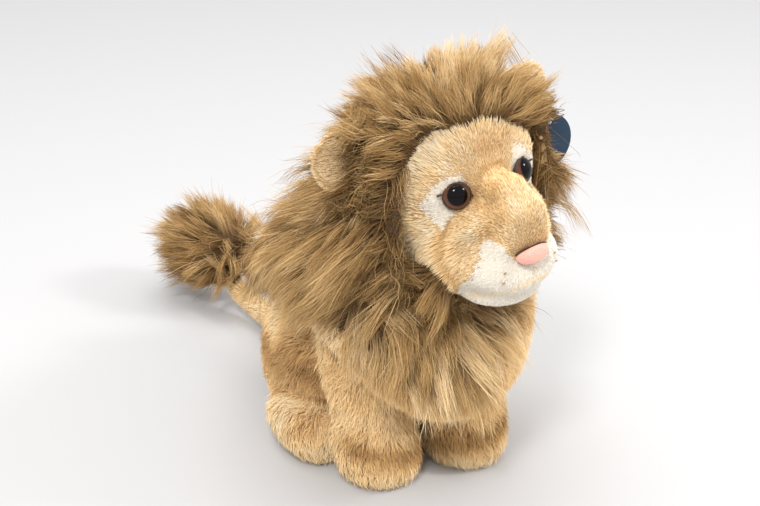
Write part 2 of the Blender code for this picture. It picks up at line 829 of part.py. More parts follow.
def ear_layer(name, share, near, thickness, matrix):
    """One cloth of a cupped ear, thick in its middle and thin at its rim."""
    build = bmesh.new()
    faces = []
    for outer in (False, True):
        rings = []
        for ring_share in ear_ring_shares:
            ring = []
            for out, up in ear_outline_shares:
                out_at = ear_middle_share + (out - ear_middle_share) * ring_share * share
                up_at = up * ring_share * share
                swell = ear_edge + (abs(thickness) - ear_edge) * (1.0 - ring_share ** 2)
                depth = near + (math.copysign(swell, thickness) if outer else 0.0)
                ring.append(build.verts.new((ear_length * out_at,
                                             ear_height_at(out_at, up_at) + depth,
                                             ear_height / 2.0 * up_at)))
            rings.append(ring)
        swell = thickness if outer else 0.0
        middle = build.verts.new((ear_length * ear_middle_share, near + swell, 0.0))
        count = len(ear_outline_shares)
        for index in range(count):
            after = (index + 1) % count
            build.faces.new((middle, rings[0][index], rings[0][after]))
            for inner_ring, outer_ring in zip(rings, rings[1:]):
                build.faces.new((inner_ring[index], outer_ring[index],
                                 outer_ring[after], inner_ring[after]))
        faces.append(rings[-1])
    near_rim, far_rim = faces
    for index in range(len(near_rim)):
        after = (index + 1) % len(near_rim)
        build.faces.new((near_rim[index], near_rim[after], far_rim[after], far_rim[index]))
    bmesh.ops.transform(build, matrix=matrix, verts=build.verts)
    bmesh.ops.recalc_face_normals(build, faces=build.faces)
    mesh = bpy.data.meshes.new(name)
    build.to_mesh(mesh)
    build.free()
    return mesh


def ear_frame(sign):
    """Stands at the ear's root: +X out along the ear, +Z up its root line."""
    place = head_point(sign * ear_spacing / 2.0, -ear_behind, ear_level)
    rise = Matrix.Rotation(-sign * math.radians(ear_rise_deg), 4, "Y")
    mirror = Matrix.Scale(sign, 4, Vector((1.0, 0.0, 0.0)))
    return Matrix.Translation(place) @ rise @ mirror


def ear_pieces(shop, finish, side, sign, neck):
    """Ear back and lining on a pivot along the root line, and the pocket in the mane."""
    place = ear_frame(sign)
    pivot = bpy.data.objects.new("ear_pivot_" + side, None)
    pivot.parent = neck
    pivot.location = place.to_translation()
    shop.toy.objects.link(pivot)
    local = Matrix.Translation(-place.to_translation()) @ place
    back = ear_layer("ear_back_" + side, 1.0, seam_gap, ear_back_thickness, local)
    add_object("ear_back_" + side, back, shop.toy, finish["blond_plush"], pivot)
    lining = ear_layer("ear_lining_" + side, ear_lining_share, 0.0,
                       -ear_lining_thickness, local)
    add_object("ear_lining_" + side, lining, shop.toy, finish["white_plush"], pivot)

    reach = ear_length + ear_height
    wide = math.radians(ear_sweep_deg)
    half_width = ear_pocket_half_width
    outline = [(-ear_pocket_floor, -half_width), (-ear_pocket_floor, half_width),
               (reach, half_width + reach * math.tan(wide)),
               (reach, -half_width - reach * math.tan(wide))]
    return shop.prism("ear_pocket_" + side, outline,
                      ear_height + 2.0 * ear_pocket_half_width, place, neck)


def mane_on_head(shop, finish, neck, skull_spaces, side_spaces):
    """The ruff round the face, split into a crown and two sides."""
    rings = []
    for centre, side, rise in lobe_rings(-ruff_front, ruff_length, ruff_width, ruff_height,
                                         -ruff_drop, ruff_shares):
        forward = Vector((0.0, -rise.z * ruff_lean_share, 0.0))
        rings.append((centre, side, rise + forward))
    face_outline = []
    for index in range(opening_corners):
        angle = 2.0 * math.pi * (index + opening_start_share) / opening_corners
        across, up = math.cos(angle), math.sin(angle)
        face_outline.append((
            face_opening_width / 2.0 * math.copysign(abs(across) ** face_squareness_share, across),
            face_opening_height / 2.0 * math.copysign(abs(up) ** face_squareness_share, up)))
    stand = Matrix.Rotation(math.radians(90.0), 4, "X")
    opening_middle = head_point(0.0, head_length / 2.0 - face_opening_depth,
                                -face_opening_drop)
    opening = shop.prism("face_opening", face_outline, head_length,
                         Matrix.Translation(opening_middle) @ stand, neck)
    middle = head_point(0.0, -ruff_front - ruff_length / 2.0, 0.0)
    lean = math.radians(crown_half_angle_deg)
    reach = cutter_reach / 2.0

    def wedge(name, start, end, shift):
        outline = [(shift * math.cos((start + end) / 2.0),
                    shift * math.sin((start + end) / 2.0))]
        steps = 4
        for step in range(steps + 1):
            angle = start + (end - start) * step / steps
            outline.append((reach * math.cos(angle), reach * math.sin(angle)))
        return shop.prism(name, outline, cutter_reach,
                          Matrix.Translation(middle) @ stand, neck)

    up = math.pi / 2.0
    down = -math.pi / 2.0
    parts = (("mane_crown", up - lean, up + lean),
             ("mane_side_left", down, up - lean),
             ("mane_side_right", up + lean, math.pi * 2.0 + down))
    for name, start, end in parts:
        half = (end - start) / 2.0
        region = wedge(name + "_region", start, end, seam_gap / 2.0 / math.sin(half))
        piece = shop.swelling(name, rings, finish["mane_pile"], neck, ruff_ring)
        cut(piece, region, "INTERSECT")
        cut_by(piece, opening, *skull_spaces, *side_spaces[name])


def mane_on_torso(shop, finish, spaces):
    """The cape over back and shoulders, and the bib on the chest."""
    rings = body_rings(-torso_front - chest_pile, torso_length + chest_pile + rump_pile,
                       torso_width + 2.0 * side_pile, torso_height + back_pile, 0.0,
                       cape_shares)
    bib_back = bib_depth - torso_front - chest_pile
    half_gap = seam_gap / 2.0
    reach = cutter_reach / 2.0
    half_back = back_panel_width / 2.0
    cube = (cutter_reach,) * 3
    regions = (
        ("mane_bib", cube, (0.0, bib_back - half_gap - reach, 0.0),
         ("over_neck", "torso", "foreleg_right", "foreleg_left")),
        ("mane_back", (back_panel_width - seam_gap, cutter_reach, cutter_reach),
         (0.0, back_panel_front + reach, 0.0),
         ("over_neck", "torso", "haunch_right", "haunch_left")),
        ("mane_shoulder_left", cube,
         (half_back + half_gap + reach, bib_back + half_gap + reach, 0.0),
         ("over_neck", "foreleg_left", "torso", "haunch_left")),
        ("mane_shoulder_right", cube,
         (-half_back - half_gap - reach, bib_back + half_gap + reach, 0.0),
         ("over_neck", "foreleg_right", "torso", "haunch_right")),
    )
    for name, size, centre, cut_away in regions:
        region = shop.block(name + "_region", size, centre)
        piece = shop.swelling(name, rings, finish["mane_pile"], ring=cape_ring)
        cut(piece, region, "INTERSECT")
        cut_by(piece, *[spaces[space] for space in cut_away])


def tag_pieces(shop, finish, neck):
    """A blank round card by the left ear, hanging plumb on a nylon loop.

    Returns the spaces that are cut out of the mane: the slot that the card
    swings in, and the thin slot that holds the top of the loop.
    """
    hang = head_point(tag_aside, -tag_behind, tag_hang_level)
    down = neck.matrix_world.to_3x3().inverted() @ Vector((0.0, 0.0, -1.0))
    plumb = math.atan2(-down.x, -down.z)
    pivot = bpy.data.objects.new("tag_pivot", None)
    pivot.parent = neck
    pivot.matrix_local = Matrix.Translation(hang) @ Matrix.Rotation(plumb, 4, "Y")
    shop.toy.objects.link(pivot)
    face = Matrix.Rotation(math.radians(90.0), 4, "X")
    hole_drop = (tag_hole_diameter - loop_wire_diameter) / 2.0 - loop_gap
    hole = Matrix.Translation((0.0, 0.0, -hole_drop))
    middle = Matrix.Translation((0.0, 0.0, tag_hole_inset - tag_diameter / 2.0))
    card = shop.rod("swing_tag", tag_diameter / 2.0, tag_thickness, hole @ middle @ face,
                    pivot, shop.toy, card_segments)
    card.hide_render = False
    card.display_type = "TEXTURED"
    card.data.materials.append(finish["tag_card"])
    cut_by(card, shop.rod("tag_hole", tag_hole_diameter / 2.0, tag_diameter,
                          hole @ face, pivot))

    wire = bpy.data.curves.new("tag_loop", "CURVE")
    wire.dimensions = "3D"
    wire.bevel_depth = loop_wire_diameter / 2.0
    wire.bevel_resolution = 1
    spline = wire.splines.new("POLY")
    spline.use_cyclic_u = True
    spline.points.add(round_segments - 1)
    radius = loop_diameter / 2.0
    for index, point in enumerate(spline.points):
        angle = 2.0 * math.pi * index / round_segments
        point.co = (0.0, radius * math.sin(angle), radius - radius * math.cos(angle), 1.0)
    loop = bpy.data.objects.new("tag_loop", wire)
    lean = Matrix.Rotation(-math.radians(loop_lean_deg), 4, "Y")
    loop.parent = neck
    loop.matrix_local = Matrix.Translation(hang) @ lean
    wire.materials.append(finish["loop_nylon"])
    shop.toy.objects.link(loop)
    through = Matrix.Rotation(math.radians(90.0), 4, "Y")
    loop_slot = shop.rod("loop_slot", radius + loop_wire_diameter / 2.0 + loop_gap,
                         loop_wire_diameter + 2.0 * loop_gap,
                         Matrix.Translation(hang) @ lean
                         @ Matrix.Translation((0.0, 0.0, radius)) @ through, neck)

    sweep_radius = tag_diameter - tag_hole_inset + hole_drop + tag_clearance
    half_card = math.atan2(tag_diameter / 2.0, tag_diameter / 2.0 - tag_hole_inset)
    half_angle = math.radians(tag_swing_deg) + half_card
    top = tag_hole_inset + tag_clearance
    outline = [(top, top), (-top, top)]
    steps = 8
    for step in range(steps + 1):
        angle = -math.pi / 2.0 - half_angle + 2.0 * half_angle * step / steps
        outline.append((sweep_radius * math.cos(angle), sweep_radius * math.sin(angle)))
    slot = shop.prism("tag_slot", outline, tag_thickness + 2.0 * tag_clearance,
                      Matrix.Translation(hang) @ face, neck)
    return slot, loop_slot


def head_pieces(shop, finish, neck):
    skull_rings = lobe_rings(brow_ahead, head_length, head_width, head_height,
                             -head_height * skull_drop_share, skull_shares)
    under_neck = shop.block("space_under_neck", (cutter_reach,) * 3,
                            (0.0, 0.0, neck_gap / 2.0 - cutter_reach / 2.0),
                            neck, neck_tilt())
    skull_space = shop.grown("skull_space", skull_rings, seam_gap, neck, skull_ring)
    skin = shop.swelling("head_skin", skull_rings, finish["blond_plush"], neck, skull_ring)
    wall = skin.modifiers.new("Cloth", "SOLIDIFY")
    wall.thickness = skin_thickness
    wall.offset = -1.0
    filling = shop.swelling("head_stuffing", skull_rings, finish["fibre_fill"], neck,
                            skull_ring)
    inset = filling.modifiers.new("Inset", "DISPLACE")
    inset.strength = -(skin_thickness + fill_clearance)
    inset.mid_level = 0.0
    cut_by(skin, under_neck)
    cut_by(filling, under_neck)

    face_spaces = face_pieces(shop, finish, neck, skull_rings, skull_space)
    side_spaces = {"mane_crown": []}
    for side, sign in (("right", -1.0), ("left", 1.0)):
        seat, pocket = eye_pieces(shop, finish, side, sign, neck)
        patch = patch_piece(shop, finish, side, sign, neck, skull_rings, skull_space)
        cut_by(patch, seat, *face_spaces)
        cut_by(skin, seat)
        cut_by(filling, pocket)
        side_spaces["mane_side_" + side] = [ear_pieces(shop, finish, side, sign, neck)]
    side_spaces["mane_side_left"].extend(tag_pieces(shop, finish, neck))
    mane_on_head(shop, finish, neck, [skull_space, under_neck], side_spaces)


def build():
    clear_scene()
    shop = Workshop()
    finish = materials()
    neck = neck_frame()
    shop.toy.objects.link(neck)
    spaces = torso_pieces(shop, finish)
    mane_on_torso(shop, finish, spaces)
    head_pieces(shop, finish, neck)


build()
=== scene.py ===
import itertools
import math

import bmesh
import bpy
import numpy as np
from mathutils import Matrix, Vector
from mathutils.bvhtree import BVHTree


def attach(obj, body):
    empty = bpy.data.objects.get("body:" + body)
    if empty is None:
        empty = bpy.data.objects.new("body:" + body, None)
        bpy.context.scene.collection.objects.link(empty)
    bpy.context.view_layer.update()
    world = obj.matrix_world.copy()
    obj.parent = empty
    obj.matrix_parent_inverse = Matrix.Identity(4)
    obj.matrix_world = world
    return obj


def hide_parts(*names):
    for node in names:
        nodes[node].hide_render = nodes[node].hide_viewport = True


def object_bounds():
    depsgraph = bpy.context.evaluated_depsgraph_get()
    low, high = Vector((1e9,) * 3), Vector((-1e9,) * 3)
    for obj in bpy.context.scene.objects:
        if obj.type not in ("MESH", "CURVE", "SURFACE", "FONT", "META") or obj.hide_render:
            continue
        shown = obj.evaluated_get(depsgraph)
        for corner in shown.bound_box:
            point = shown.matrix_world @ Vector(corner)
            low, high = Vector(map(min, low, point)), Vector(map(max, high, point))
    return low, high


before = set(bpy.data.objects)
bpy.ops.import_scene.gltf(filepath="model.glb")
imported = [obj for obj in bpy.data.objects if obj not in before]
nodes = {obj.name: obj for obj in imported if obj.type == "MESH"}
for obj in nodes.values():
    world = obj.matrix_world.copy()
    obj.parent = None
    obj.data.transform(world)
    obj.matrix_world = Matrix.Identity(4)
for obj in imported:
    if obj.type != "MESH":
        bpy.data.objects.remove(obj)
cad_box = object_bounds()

toy_scene = bpy.context.scene
strand_map = "OFBake"

# The head's own frame: +X to the lion's left, -Y ahead, measured from between the eyes.
neck_pivot = Vector((0.0, -0.085, 0.136))
neck_axis = Vector((0.0, -0.573576, 0.819152))
head_turn = math.radians(12.0)
eye_plane_ahead = 0.0595
eye_level = 0.0445
head_matrix = Matrix.Translation(neck_pivot) @ Matrix.Rotation(head_turn, 4, neck_axis)
head_turned = np.array(head_matrix.to_3x3())

# Cloth under the pile: how fine it is meshed and how deep it is set in, in metres
torso_voxel = 0.0022
head_voxel = 0.0019
tail_voxel = 0.0016
ear_voxel = 0.0009
mane_sink = 0.0060
plush_sink = 0.0024
face_sink = 0.0014

# Pile: lengths in metres, densities in strands for each square metre
plush_pile = 0.0078
face_pile = 0.0046
muzzle_pile = 0.0021
white_pile = 0.0015
ear_pile = 0.0036
pile_steps = 4
plush_density = 1.9e6
face_density = 3.4e6
edge_density = 2.2e6
mane_density = 1.2e6
tuft_density = 2.0e6
mane_length = 0.044
floor_clear = 0.0004

plush_nodes = ["torso_skin", "foreleg_left", "foreleg_right", "haunch_left", "haunch_right",
               "hind_foot_left", "hind_foot_right"]
torso_mane = ["mane_bib", "mane_back", "mane_shoulder_left", "mane_shoulder_right"]
torso_nodes = plush_nodes + torso_mane
face_nodes = ["head_skin", "muzzle", "chin", "nose_bridge", "cheek_left", "cheek_right",
              "eye_patch_left", "eye_patch_right"]
head_mane = ["mane_crown", "mane_side_left", "mane_side_right"]
head_nodes = face_nodes + head_mane
tail_nodes = ["tail_stem", "tail_tuft"]
white_nodes = ("muzzle", "chin", "eye_patch_left", "eye_patch_right")
both_sides = (("left", 1.0), ("right", -1.0))


# Materials

class Value:
    """A number that changes over a surface: arithmetic on it adds the nodes."""

    def __init__(self, finish, socket):
        self.finish = finish
        self.socket = socket

    def maths(self, operation, first, second):
        return self.finish.node("ShaderNodeMath", {"operation": operation},
                                {0: first, 1: second})

    def __add__(self, other):
        return self.maths("ADD", self, other)

    def __radd__(self, other):
        return self.maths("ADD", other, self)

    def __mul__(self, other):
        return self.maths("MULTIPLY", self, other)

    def __rmul__(self, other):
        return self.maths("MULTIPLY", other, self)

    def __truediv__(self, other):
        return self.maths("DIVIDE", self, other)

    def held(self):
        """Kept between 0 and 1."""
        return self.maths("MINIMUM", self.maths("MAXIMUM", self, 0.0), 1.0)


class Finish:
    """One material, with a method that adds a node and one that sets the shader."""

    def __init__(self, name, roughness=0.8, settings=None):
        self.material = bpy.data.materials.new(name)
        self.material.use_nodes = True
        self.tree = self.material.node_tree
        self.shader = self.tree.nodes["Principled BSDF"]
        self.shade("Roughness", roughness)
        for socket, value in (settings or {}).items():
            self.shade(socket, value)

    def fill(self, socket, value):
        if isinstance(value, Value):
            self.tree.links.new(value.socket, socket)
        elif isinstance(value, tuple) and len(value) == 3 and socket.type == "RGBA":
            socket.default_value = (*value, 1.0)
        else:
            socket.default_value = value

    def shade(self, socket, value):
        self.fill(self.shader.inputs[socket], value)

    def node(self, kind, settings=None, sockets=None, out=0):
        node = self.tree.nodes.new(kind)
        for key, value in (settings or {}).items():
            if key == "stops":
                ramp = node.color_ramp
                while len(ramp.elements) < len(value):
                    ramp.elements.new(1.0)
                for element, (place, colour) in zip(ramp.elements, value):
                    element.position = place
                    element.color = (*colour, 1.0)
            else:
                setattr(node, key, value)
        for key, value in (sockets or {}).items():
            self.fill(node.inputs[key], value)
        return Value(self, node.outputs[out])

    def ramp(self, value, stops):
        return self.node("ShaderNodeValToRGB", {"stops": stops}, {0: value})

    def mix(self, share, first, second):
        return self.node("ShaderNodeMix", {"data_type": "RGBA"},
                         {0: share, 6: first, 7: second}, 2)

    def place(self):
        return self.node("ShaderNodeTexCoord", out="Object")

    def noise(self, scale, detail=3.0):
        return self.node("ShaderNodeTexNoise", None,
                         {"Scale": scale, "Detail": detail, "Vector": self.place()})

    def bump(self, height, distance):
        self.shade("Normal", self.node("ShaderNodeBump", None,
                                       {"Height": height, "Distance": distance}))


def pile_finish(name, roots, tips, root_shade_reach, roughness=0.75, sheen=0.0):
    """Fibres: the tone across a strand's map picks the dye, and the roots are painted darker as painted
    shade deep in the pile.
    """
    finish = Finish(name, roughness, {"Sheen Weight": sheen, "Specular IOR Level": 0.25})
    along = finish.node("ShaderNodeUVMap", {"uv_map": strand_map})
    tone = finish.node("ShaderNodeSeparateXYZ", None, {0: along}, "X")
    length = finish.node("ShaderNodeSeparateXYZ", None, {0: along}, "Y")
    # How far up each strand the painted shade at the roots reaches
    share = (length / root_shade_reach).held()
    finish.shade("Base Color", finish.mix(share, finish.ramp(tone, roots),
                                          finish.ramp(tone, tips)))
    return finish.material


def flecked(name, roughness, scale, dark, light, detail=3.0, relief=0.0, settings=None):
    """Two colours mixed by fine noise, which also raises the surface where it has relief."""
    finish = Finish(name, roughness, settings)
    flecks = finish.noise(scale, detail)
    finish.shade("Base Color", finish.mix(flecks, dark, light))
    if relief:
        finish.bump(flecks, relief)
    return finish.material


def knit(name, dark, light):
    """The knitted backing that the pile grows from."""
    return flecked(name, 0.9, 900.0, dark, light, 2.0, 0.0004)


def twist(name, dark, light):
    """Twisted sewing thread."""
    return flecked(name, 0.55, 2600.0, dark, light, 1.0, 0.0001)


# Root ramp first, darker as painted shade deep in the pile, then the tip ramp
plush_fibre = pile_finish(
    "plush_fibre",
    [(0.0, (0.14, 0.062, 0.02)), (0.35, (0.44, 0.24, 0.085)), (0.6, (0.72, 0.47, 0.21)),
     (0.8, (0.78, 0.64, 0.43)), (1.0, (0.84, 0.79, 0.70))],
    [(0.0, (0.30, 0.15, 0.05)), (0.25, (0.60, 0.36, 0.14)), (0.5, (0.90, 0.64, 0.32)),
     (0.75, (0.92, 0.75, 0.48)), (1.0, (0.86, 0.82, 0.75))], 0.7, sheen=0.12)
# Root ramp first, near black as painted shade deep in the mane, then the tip ramp
mane_fibre = pile_finish(
    "mane_fibre",
    [(0.0, (0.032, 0.013, 0.004)), (0.5, (0.095, 0.045, 0.014)), (1.0, (0.24, 0.13, 0.046))],
    [(0.0, (0.15, 0.078, 0.026)), (0.4, (0.43, 0.253, 0.090)), (0.75, (0.66, 0.45, 0.21)),
     (1.0, (0.86, 0.67, 0.41))], 0.62)
plush_knit = knit("plush_knit", (0.42, 0.26, 0.11), (0.60, 0.40, 0.19))
white_knit = knit("white_knit", (0.66, 0.58, 0.46), (0.82, 0.77, 0.67))
# The mane knit is near black: painted shade that shows between the locks
mane_shade_knit = knit("mane_shade_knit", (0.035, 0.016, 0.006), (0.085, 0.042, 0.016))


# Helpers

def head_place(side, ahead, up):
    """A place on the head in millimetres from between the eyes."""
    return head_matrix @ Vector((side / 1000.0, -eye_plane_ahead - ahead / 1000.0,
                                 eye_level + up / 1000.0))


def on_head(points):
    """Side, ahead and up of world points, in millimetres from between the eyes."""
    local = (points - np.array(neck_pivot)) @ head_turned
    return (local[:, 0] * 1000.0, (-local[:, 1] - eye_plane_ahead) * 1000.0,
            (local[:, 2] - eye_level) * 1000.0)


def unit(vectors):
    return vectors / np.maximum(np.linalg.norm(vectors, axis=-1, keepdims=True), 1e-9)


def smooth(low, high, value):
    """From 0 at the low end to 1 at the high end, with no kink."""
    share = np.clip((value - low) / (high - low), 0.0, 1.0)
    return share * share * (3.0 - 2.0 * share)


def bell(middle, width, value):
    """1 at the middle, falling away to both sides."""
    return np.exp(-((value - middle) / width) ** 2)


def columns(*parts):
    """Vectors from their three parts, each an array or one number."""
    return np.stack(np.broadcast_arrays(*parts), axis=1)


def drift(points, size, seed=0):
    """Smooth noise from 0 to 1 over the points, with lumps of that size in metres."""
    scaled = points / size + 1000.0
    cell = np.floor(scaled).astype(np.int64)
    part = scaled - cell
    part = part * part * (3.0 - 2.0 * part)
    total = np.zeros(len(points))
    for corner in itertools.product((0, 1), repeat=3):
        at = cell + corner
        mixed = (at[:, 0] * 73856093) ^ (at[:, 1] * 19349663) ^ (at[:, 2] * 83492791)
        mixed = ((mixed + seed * 7919) * 2654435761) & 0xffffffff
        mixed = ((mixed ^ (mixed >> 15)) * 2246822519) & 0xffffffff
        value = ((mixed ^ (mixed >> 13)) & 0xffff) / 65535.0
        share = np.prod(np.where(np.array(corner) == 1, part, 1.0 - part), axis=1)
        total += value * share
    return total


def drift_vectors(points, size, seed):
    """Smooth noise from -0.5 to 0.5 in each direction."""
    return np.stack([drift(points, size, seed + k) for k in range(3)], axis=1) - 0.5


def dye(points, base, lumps, spread, rng):
    """A base tone with lumps of a size, seed and strength, and a spread between strands."""
    tone = base + rng.normal(0.0, spread, len(points))
    for size, seed, strength in lumps:
        tone += strength * (drift(points, size, seed) - 0.5)
    return tone


def inside(outline, across, up):
    """Which points lie inside the outline."""
    hit = np.zeros(len(across), bool)
    for (x0, y0), (x1, y1) in zip(outline, outline[1:] + outline[:1]):
        crosses = (y0 > up) != (y1 > up)
        edge = (x1 - x0) * (up - y0) / ((y1 - y0) or 1e-9) + x0
        hit ^= crosses & (across < edge)
    return hit


def linked(name, data):
    """A new object in the scene."""
    thing = bpy.data.objects.new(name, data)
    toy_scene.collection.objects.link(thing)
    return thing


def add_piece(name, mesh, material, body, stands_for, stance=Matrix()):
    piece = linked(name, mesh)
    piece.matrix_world = stance
    if not mesh.materials:
        mesh.materials.append(material)
    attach(piece, body)
    if stands_for:
        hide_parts(*stands_for)


def read(items, field, kind=np.float32, width=3):
    """A field of a mesh's vertices, edges or triangles, a row for each."""
    flat = np.empty(len(items) * width, kind)
    items.foreach_get(field, flat)
    return flat.reshape(-1, width)


def verts_of(mesh):
    return read(mesh.vertices, "co").astype(float)


def normals_of(mesh):
    return read(mesh.vertex_normals, "vector").astype(float)


def move_verts(mesh, points):
    mesh.vertices.foreach_set("co", points.astype(np.float32).ravel())
    mesh.update()


def smooth_faces(mesh):
    mesh.polygons.foreach_set("use_smooth", np.ones(len(mesh.polygons), bool))


def finished_mesh(name, build):
    """The mesh of a bmesh, with its faces turned outward and smooth."""
    bmesh.ops.recalc_face_normals(build, faces=build.faces)
    mesh = bpy.data.meshes.new(name)
    build.to_mesh(mesh)
    build.free()
    smooth_faces(mesh)
    return mesh


def tree_of(*meshes):
    """One search tree over the faces of several meshes."""
    points, faces = [], []
    for mesh in meshes:
        first = len(points)
        points += [v.co for v in mesh.vertices]
        faces += [tuple(i + first for i in p.vertices) for p in mesh.polygons]
    return BVHTree.FromPolygons(points, faces)


def even_cloth(name, sources, voxel):
    """One even mesh round several solids: their outer surface only."""
    build = bmesh.new()
    for source in sources:
        build.from_mesh(source)
    mesh = bpy.data.meshes.new(name + "_cage")
    build.to_mesh(mesh)
    build.free()
    cage = linked(name + "_cage", mesh)
    even = cage.modifiers.new("even", "REMESH")
    even.mode = "VOXEL"
    even.voxel_size = voxel
    graph = bpy.context.evaluated_depsgraph_get()
    cloth = bpy.data.meshes.new_from_object(cage.evaluated_get(graph))
    bpy.data.objects.remove(cage)
    bpy.data.meshes.remove(mesh)
    build = bmesh.new()
    build.from_mesh(cloth)
    left = set(build.verts)
    largest = []
    while left:
        island = []
        reach = [left.pop()]
        while reach:
            vert = reach.pop()
            island.append(vert)
            for edge in vert.link_edges:
                other = edge.other_vert(vert)
                if other in left:
                    left.remove(other)
                    reach.append(other)
        if len(island) > len(largest):
            largest = island
    keep = set(largest)
    bmesh.ops.delete(build, geom=[v for v in build.verts if v not in keep], context="VERTS")
    build.to_mesh(cloth)
    build.free()
    cloth.name = name
    cloth.materials.clear()
    return cloth


def hem_height(points):
    """How low the mane reaches: lowest at the breastbone, then on the left flank and rump."""
    x, y = points.T[:2]
    chest = 0.057 + 0.90 * np.maximum(np.abs(x + 0.008) - 0.008, 0.0) + 0.5 * np.maximum(x, 0.0)
    hem = np.minimum(chest, 0.094 + 0.008 * smooth(0.005, 0.025, x))
    flank = 0.026 * smooth(-0.056, -0.036, y) * smooth(0.028, 0.042, x)
    low = np.maximum(flank, 0.034 * smooth(0.004, 0.030, y))
    return hem + 0.004 * smooth(-0.07, -0.03, y) - low


def nearest_kind(points, names, reach=0.02):
    """Which of the CAD solids each point lies nearest to."""
    best = np.full(len(points), 1e9)
    kind = np.zeros(len(points), int)
    for number, name in enumerate(names):
        mesh = nodes[name].data
        tree = tree_of(mesh)
        low = np.min(verts_of(mesh), axis=0) - reach
        high = np.max(verts_of(mesh), axis=0) + reach
        near = np.all((points > low) & (points < high), axis=1)
        for index in np.nonzero(near)[0]:
            gap = tree.find_nearest(points[index], reach)[3]
            if gap is not None and gap < best[index]:
                best[index] = gap
                kind[index] = number
    return kind


def sink(mesh, depth):
    """Moves the cloth inward by a depth for each vertex, eased between neighbours."""
    first, second = read(mesh.edges, "vertices", np.int32, 2).T
    count = len(mesh.vertices)
    links = np.bincount(first, minlength=count) + np.bincount(second, minlength=count)

    def eased(values, share):
        total = np.zeros_like(values)
        np.add.at(total, first, values[second])
        np.add.at(total, second, values[first])
        mean = total / np.maximum(links, 1).reshape([-1] + [1] * (values.ndim - 1))
        return values + share * (mean - values)

    for _ in range(6):
        depth = eased(depth, 0.6)
    steps = 4
    for _ in range(steps):
        at = verts_of(mesh) - normals_of(mesh) * (depth / steps)[:, None]
        move_verts(mesh, eased(eased(at, 0.5), 0.5))


class Cloth:
    """A backing cloth that pile is planted on."""

    def __init__(self, name, names, voxel, depths, default, extra=(), shorn=None):
        sources = [nodes[n].data for n in names] + list(extra)
        self.mesh = even_cloth(name, sources, voxel)
        self.names = names
        self.kind = nearest_kind(verts_of(self.mesh), names)
        if shorn:
            self.kind = shorn(verts_of(self.mesh), self.kind)
        depth = np.array([depths.get(n, default) for n in names])[self.kind]
        sink(self.mesh, depth)
        self.settle()

    def settle(self):
        """Reads the mesh again after its points have moved."""
        self.points = verts_of(self.mesh)
        self.normals = normals_of(self.mesh)
        self.mesh.calc_loop_triangles()
        self.tris = read(self.mesh.loop_triangles, "vertices", np.int32)
        self.tree = tree_of(self.mesh)
        smooth_faces(self.mesh)

    def plant(self, chosen, density, seed):
        """Random roots on the triangles that start at a chosen vertex, with normals and kinds."""
        rng = np.random.default_rng(seed)
        tris = self.tris[chosen[self.tris[:, 0]]]
        a, b, c = (self.points[tris[:, i]] for i in range(3))
        area = np.linalg.norm(np.cross(b - a, c - a), axis=1) / 2.0
        count = int(area.sum() * density)
        pick = rng.choice(len(tris), count, p=area / area.sum())
        share = rng.random((count, 2))
        fold = share.sum(axis=1) > 1.0
        share[fold] = 1.0 - share[fold]
        weights = np.column_stack([1.0 - share.sum(axis=1), share])[:, :, None]
        corners = tris[pick]
        roots = (self.points[corners] * weights).sum(axis=1)
        normals = unit((self.normals[corners] * weights).sum(axis=1))
        return roots, normals, self.kind[corners[:, 0]]


def strands(name, paths, widths, tones, normals, seed):
    """Tapered ribbons along the paths, each mapped by its tone and its length."""
    rng = np.random.default_rng(seed)
    count, steps, _ = paths.shape
    along = unit(np.gradient(paths, axis=1))
    across = unit(np.cross(along, normals[:, None, :]))
    other = np.cross(along, across)
    turn = rng.uniform(-1.1, 1.1, (count, 1, 1))
    side = across * np.cos(turn) + other * np.sin(turn)
    share = np.linspace(0.0, 1.0, steps)
    taper = (0.75 + 0.25 * np.minimum(share / 0.3, 1.0)) * (1.0 - 0.72 * share ** 1.6)
    half = widths[:, None, None] * taper[None, :, None] / 2.0
    left = (paths - side * half)[:, :-1]
    right = (paths + side * half)[:, :-1]
    rings = np.stack([left, right], axis=2).reshape(count, -1, 3)
    verts = np.concatenate([rings, paths[:, -1:]], axis=1)
    each = verts.shape[1]
    corner = []
    for step in range(steps - 2):
        low = 2 * step
        corner += [low, low + 1, low + 3, low + 2]
    corner += [each - 3, each - 2, each - 1]
    corner = np.array(corner)
    starts = np.arange(steps - 1) * 4
    loops = (corner[None, :] + (np.arange(count) * each)[:, None]).ravel()
    loop_starts = (starts[None, :] + (np.arange(count) * len(corner))[:, None]).ravel()
    mesh = bpy.data.meshes.new(name)
    mesh.vertices.add(count * each)
    mesh.vertices.foreach_set("co", verts.astype(np.float32).ravel())
    mesh.loops.add(len(loops))
    mesh.loops.foreach_set("vertex_index", loops.astype(np.int32))
    mesh.polygons.add(len(loop_starts))
    mesh.polygons.foreach_set("loop_start", loop_starts.astype(np.int32))
    smooth_faces(mesh)
    mesh.update(calc_edges=True)
    level = np.append(np.repeat(share[:-1], 2), 1.0)
    offset = np.append(np.tile([-0.003, 0.003], steps - 1), 0.0)
    tone = 0.006 + 0.988 * np.clip(tones, 0.0, 1.0)
    across_map = tone[:, None] + offset[corner][None, :]
    along_map = np.broadcast_to(0.004 + 0.992 * level[corner][None, :], across_map.shape)
    layer = mesh.uv_layers.new(name=strand_map)
    layer.data.foreach_set("uv", np.stack([across_map, along_map], axis=2)
                           .astype(np.float32).ravel())
    return mesh


def lie(vectors, normals):
    """The part of each direction that lies along the cloth."""
    return unit(vectors - normals * np.sum(vectors * normals, axis=1, keepdims=True))


